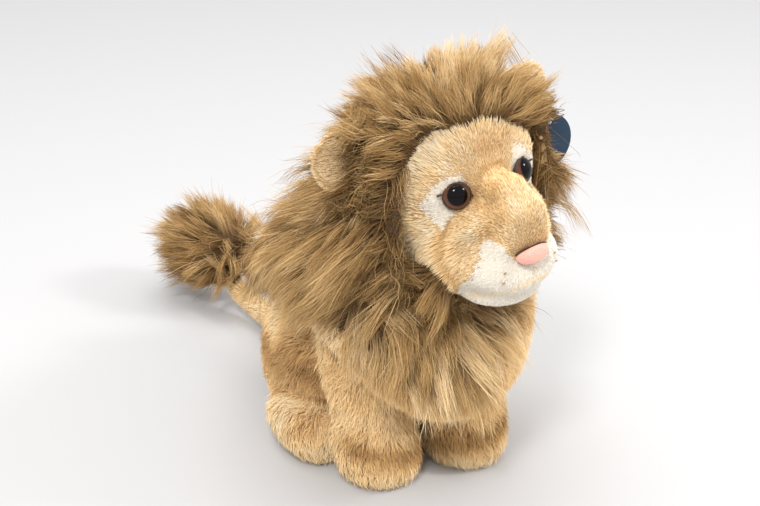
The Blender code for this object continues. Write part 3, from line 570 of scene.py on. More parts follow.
def pile_paths(roots, normals, nap, length, rise, seed, rough=0.3):
    """Short pile: up out of the cloth, then over along the nap."""
    rng = np.random.default_rng(seed)
    count = len(roots)
    curl = drift_vectors(roots, 0.006, seed) * 1.3
    nap = lie(nap + curl + rng.normal(0.0, rough, (count, 3)), normals)
    length = length * rng.uniform(0.72, 1.15, count)
    rise = np.clip(rise + rng.normal(0.0, 0.10, count), 0.12, 0.98)
    share = np.linspace(0.0, 1.0, pile_steps)[None, :, None]
    up = (length * rise)[:, None, None] * normals[:, None, :] * (1.5 * share - 0.5 * share ** 2)
    over = (length * np.sqrt(1.0 - rise ** 2))[:, None, None] * nap[:, None, :]
    return roots[:, None, :] + up + over * (0.35 * share + 0.65 * share ** 2)


def lifted(points, margin, tree, reach):
    """Points under the cloth or close to it are pushed out to the margin."""
    for index, point in enumerate(points):
        place, normal, _, _ = tree.find_nearest(point, reach)
        if place is not None and (Vector(point) - place).dot(normal) < margin:
            points[index] = place + normal * margin
    return points


def clear_of(tree, paths, margin):
    """Lifts the outer part of strands that dip into the cloth."""
    for step in range(1, paths.shape[1]):
        lifted(paths[:, step], margin * step, tree, 0.01)
    return paths


def stuffed_lump(middle, radii):
    """A rounded lump of stuffing on the head, in millimetres from between the eyes."""
    build = bmesh.new()
    bmesh.ops.create_icosphere(build, subdivisions=3, radius=1.0)
    for vert in build.verts:
        vert.co = head_place(*(m + r * c for m, r, c in zip(middle, radii, vert.co)))
    return finished_mesh("lump", build)


# The cloths

mane_depth = dict.fromkeys(torso_mane + head_mane, mane_sink)


def shorn(points, kind):
    """Below its hem the mane gives way to the plush of the legs and the chest."""
    x, z = points[:, 0], points[:, 2]
    mane = np.isin(kind, [torso_nodes.index(n) for n in torso_mane if n != "mane_back"])
    below = mane & (z < hem_height(points) + 0.004)
    leg = np.where(x > 0.0, torso_nodes.index("foreleg_left"), torso_nodes.index("foreleg_right"))
    leg = np.where(np.abs(x) < 0.010, torso_nodes.index("torso_skin"), leg)
    return np.where(below, leg, kind)


torso_fill = [nodes[n].data for n in ("torso_stuffing", "seat_pellet_bag")]
torso_cloth = Cloth("torso_cloth", torso_nodes, torso_voxel, mane_depth, plush_sink,
                    torso_fill, shorn)
# The cheeks, the bridge and the muzzle are filled before the cloth is drawn over them
face_fill = [stuffed_lump((side, 7.0, -13.5), (8.5, 9.0, 9.0)) for side in (-16.5, 16.5)]
face_fill += [stuffed_lump((0.0, 13.0, 0.5), (13.2, 13.0, 11.5)),
               stuffed_lump((0.0, 20.5, -8.5), (16.0, 14.5, 12.5))]
head_cloth = Cloth("head_cloth", head_nodes, head_voxel, mane_depth, face_sink,
                   face_fill + [nodes["head_stuffing"].data])
tail_cloth = Cloth("tail_cloth", tail_nodes, tail_voxel, {"tail_tuft": 0.007}, plush_sink)

# Outlines on the face: side and up in millimetres from between the eyes
face_outline = [(0, 32), (-14, 30.5), (-22, 30.5), (-29.5, 26.5), (-37, 17), (-41, 6), (-45, -3),
                (-45, -12), (-40, -25), (-34, -34), (-30, -43), (-21, -55), (0, -64), (21, -55),
                (31, -45), (44, -20), (46, -4), (42, 8), (30, 16), (16.5, 24), (8, 29.5)]
patch_outlines = (
    [(-18.2, 12.2), (-24, 11), (-29.6, 8), (-34.6, -3.4), (-30.8, -9.8), (-27.2, -16),
     (-24.4, -12.6), (-21.4, -8.4), (-16, -5), (-12.4, 1), (-13, 5.5), (-15, 9.6)],
    [(16.2, 16), (21.7, 13.8), (25.3, 9.2), (35, -0.6), (38.5, -10), (37, -17), (28.6, -10),
     (15.4, -6), (12.3, 4), (14.4, 9.8)])
muzzle_half = [(0, -31), (8, -28), (11, -25.6), (14.2, -18.5), (19, -25.6), (23.6, -31),
               (25.4, -36), (25, -43), (24, -49), (22, -66)]
muzzle_outline = muzzle_half + [(-side, up) for side, up in muzzle_half[:0:-1]]

# How far back the patches and the hair round the face reach, and where the beard begins
patch_back = -26.0
edge_back = -46.0
chin_level = -36.0

# Seams of one half of the face, down the bridge and down the cheek
face_seams = [[(0, 10.4), (5, 9.4), (8, 6), (9.3, 1.2), (12.5, -6.5), (13.9, -13.4), (13.8, -18.5)],
              [(21, -9.4), (24, -12.4), (27, -16), (30, -20.4), (31.9, -27), (31.5, -32.5),
               (29, -39.5), (25.5, -48)]]


def on_patch(side, up):
    """Which places lie on the white patches round the eyes."""
    return inside(patch_outlines[0], side, up) | inside(patch_outlines[1], side, up)


def on_white(side, up):
    """Which places lie on white cloth."""
    return on_patch(side, up) | inside(muzzle_outline, side, up)


def face_share(points):
    """Which points of the head are the short-piled face."""
    side, ahead, up = on_head(points)
    return inside(face_outline, side, up) & (ahead > -30.0)


def line_gap(line, side, up):
    """How far places lie from a line over the face, in millimetres."""
    gap = np.full(len(side), 1e9)
    for (x0, y0), (x1, y1) in zip(line, line[1:]):
        run = np.array([x1 - x0, y1 - y0], float)
        share = np.clip(((side - x0) * run[0] + (up - y0) * run[1]) / run.dot(run), 0.0, 1.0)
        gap = np.minimum(gap, np.hypot(side - x0 - share * run[0], up - y0 - share * run[1]))
    return gap


def outline_gap(outline, side, up):
    """How far places lie from a closed outline, in millimetres."""
    return line_gap(outline + outline[:1], side, up)


def white_gap(side, up):
    """How far places lie from the edges of the white cloths, in millimetres."""
    return np.minimum.reduce([outline_gap(outline, side, up)
                              for outline in (*patch_outlines, muzzle_outline)])


# Short plush

def plush_tone(points, name, seed):
    """Blond with darker brushed streaks, cream sides, brown airbrushed toes, and painted shade where
    the forelegs run up under the mane.
    """
    rng = np.random.default_rng(seed)
    tone = dye(points, 0.57, ((0.014, 3, 0.18), (0.0045, 4, 0.12)), 0.030, rng)
    x, y, z = points.T
    out = np.abs(x)
    if name.startswith("foreleg"):
        toe_line = 0.0275 - 0.25 * (0.0475 - out)
        tone -= 0.36 * bell(toe_line, 0.0065, z) * smooth(-0.080, -0.094, y)
        tone -= 0.14 * bell(0.068, 0.02, z) * drift(points, 0.014, 9)
        tone += 0.10 * smooth(0.017, 0.006, z)
        tone += 0.20 * smooth(0.049, 0.056, out) * smooth(0.015, 0.04, z)
        # Darker where the foreleg runs up under the mane hem: painted shade under the mane
        tone -= 0.16 * smooth(-0.014, 0.006, z - hem_height(points)) * smooth(0.056, 0.050, out)
    elif name.startswith("hind"):
        tone += 0.12 - 0.30 * bell(0.023, 0.008, z) * bell(-0.056, 0.009, y)
    elif name.startswith("haunch"):
        tone -= 0.20 + 0.24 * bell(0.058, 0.012, z) + 0.10 * bell(0.085, 0.010, z)
        tone += 0.30 * smooth(-0.045, -0.030, y) * smooth(0.055, 0.075, z)
    return tone


def plush_nap(points, name):
    """Which way the pile lies: down the legs, forward on the feet, back on the body."""
    if name.startswith(("foreleg", "hind")):
        x, z = points[:, 0], points[:, 2]
        return columns(0.25 * np.sign(x), -0.9 * smooth(0.035, 0.010, z), -1.0)
    return np.tile([0.0, 1.0, -0.2] if name == "tail" else [0.0, 0.5, -0.8], (len(points), 1))


for number, name in enumerate(plush_nodes):
    chosen = torso_cloth.kind == torso_nodes.index(name)
    roots, normals, _ = torso_cloth.plant(chosen, plush_density, 20 + number)
    flat = (roots[:, 2] < 0.004) & (normals[:, 2] < -0.5)
    length = np.where(flat, 0.002, plush_pile)
    paths = pile_paths(roots, normals, plush_nap(roots, name), length,
                       np.where(flat, 0.15, 0.50), 40 + number)
    paths = clear_of(torso_cloth.tree, paths, 0.0004)
    paths[:, :, 2] = np.maximum(paths[:, :, 2], floor_clear)
    rng = np.random.default_rng(60 + number)
    mesh = strands(name + "_pile", paths, rng.uniform(0.00030, 0.00058, len(roots)),
                   plush_tone(roots, name, 80 + number), normals, 100 + number)
    add_piece(name + "_pile", mesh, plush_fibre, "torso", [name])

roots, normals, _ = tail_cloth.plant(tail_cloth.kind == 0, plush_density, 31)
paths = pile_paths(roots, normals, plush_nap(roots, "tail"), 0.0045, 0.28, 51, 0.12)
paths[:, :, 2] = np.maximum(paths[:, :, 2], floor_clear)
mesh = strands("tail_stem_pile", paths, np.full(len(roots), 0.0004),
               plush_tone(roots, "tail", 91), normals, 111)
add_piece("tail_stem_pile", mesh, plush_fibre, "tail", ["tail_stem"])


# The face

def seam_share(points):
    """How near points are to a seam between the panels of the face, from 0 to 1."""
    side, ahead, up = on_head(points)
    gap = np.minimum.reduce([line_gap(line, np.abs(side), up) for line in face_seams])
    return bell(0.0, 1.9, gap) * (ahead > -14.0)


seam_depth = 0.0020 * seam_share(head_cloth.points)
move_verts(head_cloth.mesh, head_cloth.points - head_cloth.normals * seam_depth[:, None])
head_cloth.settle()


def face_tone(points, seed):
    """Blond face, white round the eyes and on the muzzle and chin, with painted shade along the panel
    seams and a cream line of painted shade in the mouth crease.
    """
    rng = np.random.default_rng(seed)
    side, ahead, up = on_head(points)
    tone = dye(points, 0.70, ((0.009, 5, 0.18), (0.0035, 6, 0.14)), 0.035, rng)
    tone -= 0.10 * bell(0.0, 9.0, side) * smooth(2.0, 20.0, up)
    # The last term darkens the seams between the face panels: painted shade in their creases
    tone += 0.07 * smooth(-14.0, -24.0, side) * smooth(4.0, 24.0, up) - 0.30 * seam_share(points)
    white = ((on_patch(side, up) & (ahead > patch_back))
             | (inside(muzzle_outline, side, up) & (ahead > -2.0)))
    # The mouth crease across the white muzzle is painted darker: painted shade in the groove
    mouth_crease_shade = bell(-41.8, 1.5, up + 0.022 * side ** 2) * smooth(26.0, 18.0, np.abs(side))
    light = 0.985 + rng.normal(0, 0.012, len(points)) - 0.22 * mouth_crease_shade
    return np.where(white, light, tone)


def face_nap(points):
    """Up the bridge, and out from it over the brow, cheeks and chin."""
    side, _, up = on_head(points)
    bridge = smooth(17.0, 9.0, np.abs(side)) * smooth(-31.0, -23.0, up)
    return columns(side * (1.2 - 0.8 * bridge), 16.0,
                   (up + 12.0) * (1.0 - bridge) + 18.0 * bridge) @ head_turned.T


on_face = face_share(head_cloth.points)
roots, normals, kinds = head_cloth.plant(np.ones(len(on_face), bool), face_density, 200)
own = face_share(roots)
side, ahead, up = on_head(roots)
near_edge = ~own & (outline_gap(face_outline, side, up) < 15.0) & (ahead > edge_back)
edge_roots, edge_normals = roots[near_edge], normals[near_edge]
for number, name in enumerate(face_nodes):
    mine = own & (kinds == head_nodes.index(name))
    if name == "head_skin":
        mine |= own & (kinds >= len(face_nodes))
    spots, out = roots[mine], normals[mine]
    side, _, up = on_head(spots)
    length = (muzzle_pile if name in ("muzzle", "chin", "nose_bridge") else
              muzzle_pile + (face_pile - muzzle_pile) * smooth(20, 40, np.hypot(side, up + 6)))
    by_white = smooth(0, 4.5, white_gap(side, up))
    length = np.where(on_white(side, up), white_pile, white_pile + (length - white_pile) * by_white)
    paths = pile_paths(spots, out, face_nap(spots), length, 0.42, 220 + number, 0.2)
    paths = clear_of(head_cloth.tree, paths, 0.00025)
    mesh = strands(name + "_pile", paths, np.full(len(spots), 0.00034),
                   face_tone(spots, 240 + number), out, 260 + number)
    slot = "white_plush" if name in white_nodes else "blond_plush"
    add_piece(name + "_pile", mesh, plush_fibre, "head", [name])


# Ears

ear_cloths = []
for side, sign in both_sides:
    for layer, tone, slot in (("ear_back_", 0.66, "blond_plush"),
                              ("ear_lining_", 0.68, "white_plush")):
        name = layer + side
        cloth = Cloth(name + "_cloth", [name], ear_voxel, {}, 0.0003)
        ear_cloths.append(cloth)
        everywhere = np.ones(len(cloth.points), bool)
        roots, normals, _ = cloth.plant(everywhere, face_density * 0.8,
                                        500 + len(name) + int(sign))
        out = np.tile([sign, 0.3, 0.35], (len(roots), 1)) @ head_turned.T
        paths = pile_paths(roots, normals, out, ear_pile, 0.28, 520, 0.15)
        tones = dye(roots, tone, ((0.005, 8, 0.1),), 0.03, np.random.default_rng(530))
        mesh = strands(name + "_pile", paths, np.full(len(roots), 0.00042), tones, normals, 540)
        add_piece(name + "_pile", mesh, plush_fibre, "ear_" + side, [name])
        add_piece(name + "_cloth", cloth.mesh, plush_knit, "ear_" + side, [name])


# The mane

def mane_flow_head(points):
    """Which way mane hair on the head is brushed, in the world."""
    side, ahead, up = on_head(points)
    crown = smooth(22.0, 46.0, up)
    low = smooth(18.0, -8.0, up)
    nape = smooth(28.0, 54.0, -ahead) * (1.0 - 0.3 * crown)
    sign = np.clip(side / 16.0, -1.0, 1.0)
    top = columns(side / 50.0 + 0.5 * smooth(8, 30, side), 0.28, 1.0 - 0.68 * smooth(8, 32, side))
    flank = columns(0.60 * sign, 0.42, -0.70)
    behind = columns(0.25 * sign, 0.85, -0.45)
    level = columns(sign, 0.35, -0.08)
    flow = (unit(top) * crown[:, None] + unit(flank) * low[:, None]
            + unit(level) * (1.0 - crown - low)[:, None])
    flow = unit(flow) * (1.0 - nape)[:, None] + unit(behind) * nape[:, None]
    return unit(flow) @ head_turned.T


def mane_flow_torso(points, name):
    """Which way mane hair on the body is brushed."""
    x = points[:, 0]
    if name == "mane_bib":
        return unit(columns(x * np.where(x > 0.0, 1.0, 2.0), -0.08, -1.0))
    if name == "mane_back":
        return unit(columns(x * 6.0, 0.85, -0.50))
    return unit(columns(0.25 * np.sign(x), 0.45, -0.85))


under_tree = tree_of(*(cloth.mesh for cloth in [torso_cloth, head_cloth, tail_cloth] + ear_cloths))


# The room that hair may fill: 3% of each side and a little under 10 mm past the solids
reach_out = 0.03 * np.array(cad_box[1] - cad_box[0]) + 0.0095
hair_low = np.array(cad_box[0]) - reach_out
hair_low[2] = 0.0005
hair_high = np.array(cad_box[1]) + reach_out


def kept_in_room(paths):
    """Hair that would leave the room round the part is scaled down to its edge."""
    span = paths - paths[:, :1]
    room = np.where(span > 0.0, hair_high - paths[:, :1], hair_low - paths[:, :1])
    excess = (span / np.where(np.abs(room) < 1e-5, 1e-5, room)).max(axis=(1, 2))
    paths = paths[:, :1] + span / np.maximum(excess, 1.0)[:, None, None]
    paths[:, :, 2] = np.maximum(paths[:, :, 2], hair_low[2])
    return paths


def two_nearest(roots, starts, batch=4000):
    """The nearest and the second nearest lock of each root."""
    found = np.zeros((len(roots), 2), int)
    for low in range(0, len(roots), batch):
        gap = np.linalg.norm(roots[low:low + batch, None] - starts[None], axis=2)
        order = np.argpartition(gap, 1, axis=1)[:, :2]
        closer = np.take_along_axis(gap, order, axis=1).argsort(axis=1)
        found[low:low + batch] = np.take_along_axis(order, closer, axis=1)
    return found.T


def hair_tone(roots, tone, body, hem):
    """Darker by the face, as painted shade in the parting round it, and on the nape; lighter on the
    crown, partly its own colour and partly painted light from above, and near the hem.
    """
    if body == "head":
        side, ahead, up = on_head(roots)
        # Painted shade: darker in the parting round the face
        tone -= 0.24 * smooth(17.0, 4.0, outline_gap(face_outline, side, up)) * (ahead > edge_back)
        # Lighter on the crown: partly its own colour, partly painted light from above
        tone += 0.19 * smooth(20.0, 42.0, up) * smooth(-75.0, -40.0, ahead)
        tone -= 0.12 * smooth(-28.0, -46.0, ahead)
        tone = np.minimum(tone + 0.02, 0.84 + 0.2 * (tone - 0.84))
    if hem:
        x, y, z = roots.T
        tone -= 0.07 * smooth(-0.045, -0.015, y)
        tone += 0.24 * smooth(0.022, 0.002, z - hem_height(roots))
        tone += 0.20 * smooth(0.000, 0.024, x) * smooth(0.118, 0.094, z) * smooth(-0.055, -0.075, y)
    return tone


def mane_hair(name, roots, normals, flow_of, length, lock_area, lift, droop, seed,
              body, stands_for, steps=8, wild=0.5, tone_shift=0.0, hem=False, density=mane_density):
    """Hair in tapering locks: each root follows the nearest lock and closes in on it."""
    rng = np.random.default_rng(seed)
    count = len(roots)
    locks = max(int(count / density / lock_area), 6)
    chief = rng.choice(count, locks, replace=False)
    start, out = roots[chief], normals[chief]
    flow = flow_of(start)
    flow -= out * np.minimum(np.sum(flow * out, axis=1, keepdims=True), 0.0)
    sway = drift_vectors(start, 0.022, seed) * wild * 1.5 + rng.normal(0.0, 0.10, (locks, 3))
    curl = drift_vectors(start, 0.013, seed) * 0.9 + rng.normal(0.0, 0.10, (locks, 3))
    reach = (length(start) if callable(length) else length) * rng.uniform(0.72, 1.15, locks)
    if hem:
        drop = start[:, 2] - hem_height(start) + rng.uniform(-0.004, 0.012, locks)
        reach = np.clip(reach, 0.009, np.maximum(drop * 1.15, 0.011))
    guide = [start]
    for step in range(1, steps):
        share = step / (steps - 1)
        heading = (flow + out * lift * (1.0 - 0.75 * share) + sway
                   + curl * math.sin(share * 5.0)
                   + np.array([0.0, 0.0, -1.0]) * droop * share)
        point = guide[-1] + unit(heading) * (reach / (steps - 1))[:, None]
        guide.append(lifted(point, 0.0010 + 0.0045 * share, under_tree, 0.03))
    guide = np.stack(guide, axis=1)

    nearest, second = two_nearest(roots, start)
    owner = np.where(rng.random(count) < 0.22, second, nearest)
    stray = rng.random(count) < 0.18
    share = np.linspace(0.0, 1.0, steps)
    pull = np.where(stray[:, None], 0.10 * share, 0.66 * share ** 0.9)
    pull = np.clip(pull * rng.uniform(0.5, 1.2, (count, 1)), 0.0, 1.0)
    offset = roots - start[owner]
    own = guide[owner] - start[owner][:, None]
    scale = rng.uniform(0.70, 1.08, count)[:, None, None]
    paths = roots[:, None] + own * scale - offset[:, None] * pull[:, :, None]
    wave = rng.normal(0.0, 1.0, (count, 3))[:, None]
    loose = (np.where(stray, 0.17, 0.05) * np.minimum(reach[owner], 0.036))[:, None, None]
    paths += wave * loose * (share ** 1.5)[None, :, None]
    ripple = np.sin(share * 9.0 + rng.uniform(0, 6.28, count)[:, None])[:, :, None]
    paths += 0.0004 * ripple * wave * share[None, :, None]
    lock_tone = rng.normal(0.0, 0.13, locks)
    tone = dye(roots, 0.46 + tone_shift, ((0.012, 77, 0.35),), 0.13, rng) + lock_tone[owner]
    tone = hair_tone(roots, tone, body, hem)
    widths = rng.uniform(0.00020, 0.00037, count)
    mesh = strands(name, kept_in_room(paths), widths, tone, normals, seed + 1)
    add_piece(name, mesh, mane_fibre, body, stands_for)


def crown_length(points):
    """Short on top of the crown and longer where it sweeps out to the sides."""
    side = on_head(points)[0]
    return 0.0155 + 0.026 * smooth(17, 36, side) + 0.008 * smooth(-10, -30, side)


def side_length(points):
    """Short above the ears, growing toward the jaw."""
    side, ahead, up = on_head(points)
    veil = 0.021 * smooth(33, 38, np.abs(side)) * bell(20.0, 11.0, up) * smooth(-52, -44, ahead)
    short = 0.018
    return short + (mane_length - short) * smooth(36, -8, up) + veil


def edge_flow(points):
    """Hair round the face goes out from its edge before it joins the mane."""
    side, _, up = on_head(points)
    under = smooth(-40, -54, up)[:, None]
    out = unit(columns(side, 0.0, up + 8.0)) @ head_turned.T
    return unit((1.0 - under) * (mane_flow_head(points) + 0.8 * out)
                + under * np.array([0.0, 0.12, -1.3]))


def edge_length(points):
    """Even round the face, and in uneven locks under the chin that hang over the bib."""
    up = on_head(points)[2]
    beard = 0.012 + 0.026 * drift(points, 0.008, 61)
    return beard + (0.021 - beard) * smooth(-52, -38, up)


for number, name in enumerate(head_mane):
    chosen = head_cloth.kind == head_nodes.index(name)
    roots, normals, _ = head_cloth.plant(chosen, 0.9 * mane_density, 300 + number)
    beyond = ~face_share(roots)
    crown = name == "mane_crown"
    mane_hair(name + "_hair", roots[beyond], normals[beyond], mane_flow_head,
              crown_length if crown else side_length, 0.00004, 0.50, 0.05 if crown else 0.50,
              310 + number, "head", [name], wild=0.40 if crown else 0.7, tone_shift=0.16)

keep = np.random.default_rng(370).random(len(edge_roots)) < edge_density / face_density
edge_side, _, edge_up = on_head(edge_roots)
for side, sign in both_sides:
    half = edge_side * sign > 0.0
    for part, zone, seed in (("edge", edge_up > chin_level, 372),
                             ("beard", edge_up <= chin_level, 376)):
        mine = keep & half & zone
        mane_hair("mane_%s_hair_%s" % (part, side), edge_roots[mine], edge_normals[mine],
                  edge_flow, edge_length, 0.000022, 0.75, 0.10, seed + int(sign), "head",
                  ["head_skin"], wild=0.3, density=edge_density)
    # Short near-black hair in the parting round the face: painted shade where the roots show
    mane_hair("mane_root_hair_" + side, edge_roots[half], edge_normals[half], edge_flow, 0.0070,
              0.000012, 1.1, 0.0, 382 + int(sign), "head", ["head_skin"], steps=4, wild=0.1,
              tone_shift=-0.42, density=face_density)


def back_length(points):
    """Longer toward the rump, where the mane lies over the seat."""
    return mane_length * (0.85 + 0.62 * smooth(-0.02, 0.03, points[:, 1]))


for number, name in enumerate(torso_mane):
    chosen = torso_cloth.kind == torso_nodes.index(name)
    roots, normals, _ = torso_cloth.plant(chosen, mane_density, 400 + number)
    back = name == "mane_back"
    mane_hair(name + "_hair", roots, normals,
              lambda points, name=name: mane_flow_torso(points, name),
              back_length if back else mane_length * 0.9,
              0.00005, 0.36, 0.24 if back else 0.40, 410 + number, "torso", [name],
              hem=not back, wild=0.9 if back else 0.8, tone_shift=0.0 if back else 0.06)


def tuft_flow(points):
    """Out and back from the tail's end."""
    middle = np.array([-0.0195, 0.150, 0.038])
    out = points - middle
    out[:, 1] += 0.014
    return unit(0.55 * unit(out) + np.array([-0.60, 0.80, 0.0]))


roots, normals, _ = tail_cloth.plant(tail_cloth.kind == 1, tuft_density, 451)
mane_hair("tail_tuft_hair", roots, normals, tuft_flow, 0.026, 0.00002, 0.50, 0.0, 452,
          "tail", ["tail_tuft"], tone_shift=-0.10, density=tuft_density)


# Cloths as own pieces

def dress_cloth(cloth, name, body, inner):
    """Shows the backing cloth in its knits: blond, the near-black mane knit that is painted shade
    between the locks and, on the face, white.
    """
    mane = np.array([n.startswith("mane") or n == "tail_tuft" for n in cloth.names])[cloth.kind]
    if cloth is head_cloth:
        mane = ~on_face
    index = np.where(mane, 1, 0)
    if cloth is head_cloth:
        side, ahead, up = on_head(cloth.points)
        white = on_white(side, up) & (ahead > patch_back) & (white_gap(side, up) > 0.3)
        index[white & ~mane] = 2
    for backing in (plush_knit, mane_shade_knit, white_knit):
        cloth.mesh.materials.append(backing)
    corners = [p.vertices[0] for p in cloth.mesh.polygons]
    cloth.mesh.polygons.foreach_set("material_index", index[corners].astype(np.int32))
    add_piece(name, cloth.mesh, plush_knit, body, inner)


dress_cloth(torso_cloth, "torso_cloth", "torso", ["torso_skin", "torso_stuffing", "seat_pellet_bag"])
dress_cloth(head_cloth, "head_cloth", "head", ["head_skin", "head_stuffing"])
dress_cloth(tail_cloth, "tail_cloth", "tail", ["tail_stem", "tail_tuft"])


# Eyes

def ring_spots(steps):
    """Places round a circle of radius 1."""
    return [(math.cos(2 * math.pi * k / steps), math.sin(2 * math.pi * k / steps))
            for k in range(steps)]


def skin_rings(build, rings):
    """Faces from each ring of points to the next, where a ring may be a single point."""
    steps = max(len(ring) for ring in rings)
    for low, high in zip(rings, rings[1:]):
        for k in range(steps):
            after = (k + 1) % steps
            corners = list(dict.fromkeys((low[k % len(low)], low[after % len(low)],
                                          high[after % len(high)], high[k % len(high)])))
            if len(corners) > 2:
                build.faces.new(corners)


def turned(name, profile):
    """A turned mesh from radii and heights, smooth all round."""
    build = bmesh.new()
    rings = []
    for radius, height in profile:
        spots = ring_spots(64) if radius > 1e-7 else [(0.0, 0.0)]
        rings.append([build.verts.new((radius * across, radius * up, height))
                      for across, up in spots])
    skin_rings(build, rings)
    return finished_mesh(name, build)


eye_aside = 0.020
eye_seat = 0.0002
eye_radius = 0.0070
eye_dome = 0.0052
eye_gloss = Finish("eye_gloss", 0.04, {"Specular IOR Level": 0.15})
place = eye_gloss.node("ShaderNodeVectorMath", {"operation": "MULTIPLY_ADD"},
                       {0: eye_gloss.place(), 1: (1.0, 1.0, 0.0), 2: (0.0, -0.0017, 0.0)})
radius = eye_gloss.node("ShaderNodeVectorMath", {"operation": "LENGTH"}, {0: place}, 1)
eye_gloss.shade("Base Color", eye_gloss.ramp(radius / 0.0075, [
    (0.0, (0.003, 0.002, 0.002)), (0.64, (0.003, 0.002, 0.002)), (0.68, (0.085, 0.036, 0.020)),
    (0.84, (0.14, 0.062, 0.036)), (0.92, (0.055, 0.023, 0.013)), (1.0, (0.03, 0.013, 0.008))]))
for side, sign in both_sides:
    yaw = Matrix.Rotation(sign * math.radians(24.0), 4, "Z")
    tilt = Matrix.Rotation(math.radians(87.0), 4, "X")
    seat = Matrix.Translation((sign * eye_aside, eye_seat - eye_plane_ahead, eye_level))
    profile = [(0.0, -0.0120), (0.0014, -0.0118), (0.0017, -0.0110), (0.0017, -0.0012),
               (0.0066, -0.0010), (eye_radius, -0.0004)]
    profile += [(eye_radius * math.cos(math.pi / 2 * k / 14), eye_dome * math.sin(math.pi / 2 * k / 14))
                for k in range(14)]
    profile.append((0.0, eye_dome))
    add_piece("eye_dome_" + side, turned("eye_dome_" + side, profile), eye_gloss.material, "head",
              ["eye_" + side], stance=head_matrix @ seat @ yaw @ tilt)


def refinish(name, material):
    """Gives a CAD solid that stays its own finish."""
    nodes[name].data.materials.clear()
    nodes[name].data.materials.append(material)


washer_plastic = flecked("washer_plastic", 0.45, 300.0, (0.70, 0.70, 0.68), (0.80, 0.80, 0.78))
refinish("eye_washer_left", washer_plastic)
refinish("eye_washer_right", washer_plastic)


# Nose, tag, loop

nose_cloth = flecked("nose_cloth", 0.6, 1400.0, (0.92, 0.33, 0.25), (0.97, 0.43, 0.34), 2.0,
                     0.0002, {"Sheen Weight": 0.3})
nose_pad = nodes["nose"].data.copy()
nose_pad.materials.clear()
smooth_faces(nose_pad)
add_piece("nose_pad", nose_pad, nose_cloth, "head", ["nose"])
refinish("swing_tag", flecked("card_paper", 0.5, 500.0, (0.010, 0.028, 0.055),
                              (0.014, 0.040, 0.075), settings={"Specular IOR Level": 0.3}))
refinish("tag_loop", flecked("loop_nylon", 0.3, 400.0, (0.8, 0.8, 0.8), (0.9, 0.9, 0.9),
                             settings={"Transmission Weight": 0.4}))


# Stitching

def thread(name, points, radius, finish, body, taper=False, fine=5):
    """A sewn thread: a round tube on a smooth curve through the points."""
    points = [Vector(p) for p in points]
    path = []
    ends = points[:1] + points + points[-1:]
    for before, here, there, after in zip(ends, ends[1:], ends[2:], ends[3:]):
        for part in range(fine):
            share = part / fine
            path.append(0.5 * (2 * here + (there - before) * share
                               + (2 * before - 5 * here + 4 * there - after) * share ** 2
                               + (3 * here - before - 3 * there + after) * share ** 3))
    path.append(points[-1])
    last = len(path) - 1
    build = bmesh.new()
    rings = []
    side = (path[1] - path[0]).orthogonal()
    for k, place in enumerate(path):
        along = (path[min(k + 1, last)] - path[max(k - 1, 0)]).normalized()
        side = (side - along * side.dot(along)).normalized()
        other = along.cross(side)
        thick = 0.6 if k in (0, last) else 1.0
        if taper:
            thick = 0.35 + 0.65 * math.sin(math.pi * k / last)
        rings.append([build.verts.new(place + radius * thick * (side * across + other * up))
                      for across, up in ring_spots(8)])
    skin_rings(build, rings)
    build.faces.new(reversed(rings[0]))
    build.faces.new(rings[-1])
    add_piece(name, finished_mesh(name, build), finish, body, ())


brown_thread = twist("brown_thread", (0.03, 0.013, 0.006), (0.06, 0.026, 0.013))
tan_thread = twist("tan_thread", (0.26, 0.14, 0.06), (0.42, 0.25, 0.11))
cream_thread = twist("cream_thread", (0.50, 0.38, 0.24), (0.66, 0.52, 0.36))
face_tree = tree_of(head_cloth.mesh, nose_pad)
straight_back = Vector((0.0, 1.0, 0.0))


def face_line(spots, lift, sign=1.0):
    """Side and up places on the face, dropped onto it from the front."""
    line = []
    for side, up in spots:
        place, normal, _, _ = face_tree.ray_cast(
            head_place(sign * side, 90.0, up), head_matrix.to_3x3() @ straight_back)
        line.append(place + normal * lift)
    return line


for side, sign in both_sides:
    for corner, spots in (("outer", ((26.4, 2.9), (27.7, 2.9), (29.0, 2.4))),
                          ("inner", ((12.9, 0.8), (12.2, -0.5), (11.8, -1.8)))):
        thread("eye_stitch_%s_%s" % (corner, side), face_line(spots, 0.0013, sign), 0.00055,
               brown_thread, "head")
    for number, (aside, up) in enumerate(((14.9, -33.7), (15.8, -38.2))):
        thread("whisker_stitch_%s_%d" % (side, number + 1),
               face_line(((aside - 0.7, up), (aside + 0.7, up - 0.3)), 0.0014, sign),
               0.00042, tan_thread, "head")
    eye = bpy.data.objects["eye_dome_" + side].matrix_world
    start, stop = (-25, 118) if side == "right" else (205, 62)
    lid_radius = eye_radius + 0.0001
    rim = [eye @ Vector((lid_radius * math.cos(turn), lid_radius * math.sin(turn), 0.0009))
           for turn in np.radians(np.linspace(start, stop, 9))]
    thread("eye_lid_" + side, rim, 0.00085, brown_thread, "head", taper=True, fine=3)
thread("nose_stitch", face_line([(-9.4, -25.4), (-6.2, -23.6), (-2.0, -22.7), (2.0, -22.7),
                                 (6.2, -23.6), (9.4, -25.4)], 0.0011), 0.0004, brown_thread, "head")
thread("lip_stitch", face_line([(0.0, -34.6), (0.0, -36.6), (-0.2, -38.8)], 0.0012), 0.0003,
       cream_thread, "head")

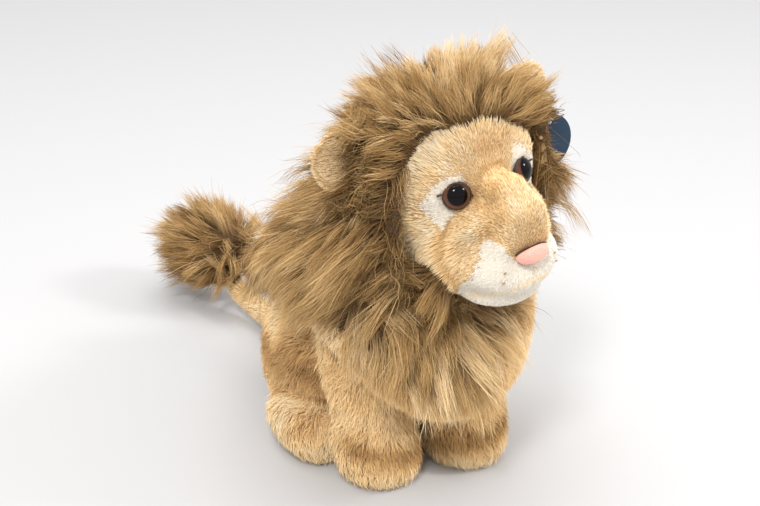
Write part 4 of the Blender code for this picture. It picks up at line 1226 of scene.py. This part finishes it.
for foot, middle, gap, front in (("forepaw", 0.0335, 0.0105, -0.165),
                                 ("hind_foot", 0.0490, 0.0085, -0.130)):
    for side, sign in both_sides:
        for number in range(3):
            across = sign * (middle + gap * (number - 1))
            line = []
            for height in (0.0215, 0.0160, 0.0105, 0.0065):
                place, normal, _, _ = torso_cloth.tree.ray_cast(Vector((across, front, height)),
                                                                straight_back)
                if place is not None:
                    line.append(place + normal * 0.0024)
            thread("%s_toe_stitch_%s_%d" % (foot, side, number + 1), line, 0.0003, tan_thread,
                   "torso")


# Floor, lights and camera

floor_mesh = bpy.data.meshes.new("studio_floor")
floor_mesh.from_pydata([(-20, -20, 0), (20, -20, 0), (20, 20, 0), (-20, 20, 0)], [], [(0, 1, 2, 3)])
floor = linked("studio_floor", floor_mesh)
floor.location.z = -0.0002
paper = Finish("floor_paper", 0.75)
# The floor is painted darker away from the toy, as painted shade far off, with faint blotches
reach = paper.node("ShaderNodeVectorMath", {"operation": "LENGTH"}, {0: paper.place()}, 1)
paper.shade("Base Color", paper.mix((reach / 1.3 + paper.noise(2.0) * 0.03).held(),
                                    (0.530, 0.523, 0.522), (0.462, 0.458, 0.466)))
floor_mesh.materials.append(paper.material)


lit = Vector((0.0, -0.02, 0.12))


def softbox(name, place, size, power):
    light = bpy.data.lights.new(name, "AREA")
    light.size = size
    light.energy = power
    lamp = linked(name, light)
    lamp.location = place
    lamp.rotation_euler = (lit - Vector(place)).to_track_quat("-Z", "Y").to_euler()


softbox("key_box", (-0.9, -1.3, 1.7), 0.36, 29.0)
softbox("fill_box", (1.3, -0.9, 1.3), 0.36, 16.0)
softbox("top_box", (0.0, 0.3, 2.0), 1.4, 18.0)

toy_scene.view_settings.view_transform = "Standard"
world = bpy.data.worlds.new("studio")
toy_scene.world = world
world.use_nodes = True
background = world.node_tree.nodes["Background"]
background.inputs["Color"].default_value = (1.0, 1.0, 1.0, 1.0)
background.inputs["Strength"].default_value = 1.0

lens = bpy.data.cameras.new("photo_camera")
lens.sensor_width = 36.0
lens.lens = 87.72
lens.clip_start = 0.01
camera = linked("photo_camera", lens)
stand = Vector((-0.4065, -0.880, 0.485))
target = Vector((-0.0055, -0.044, 0.110))
camera.location = stand
camera.rotation_euler = (target - stand).to_track_quat("-Z", "Y").to_euler()
toy_scene.camera = camera
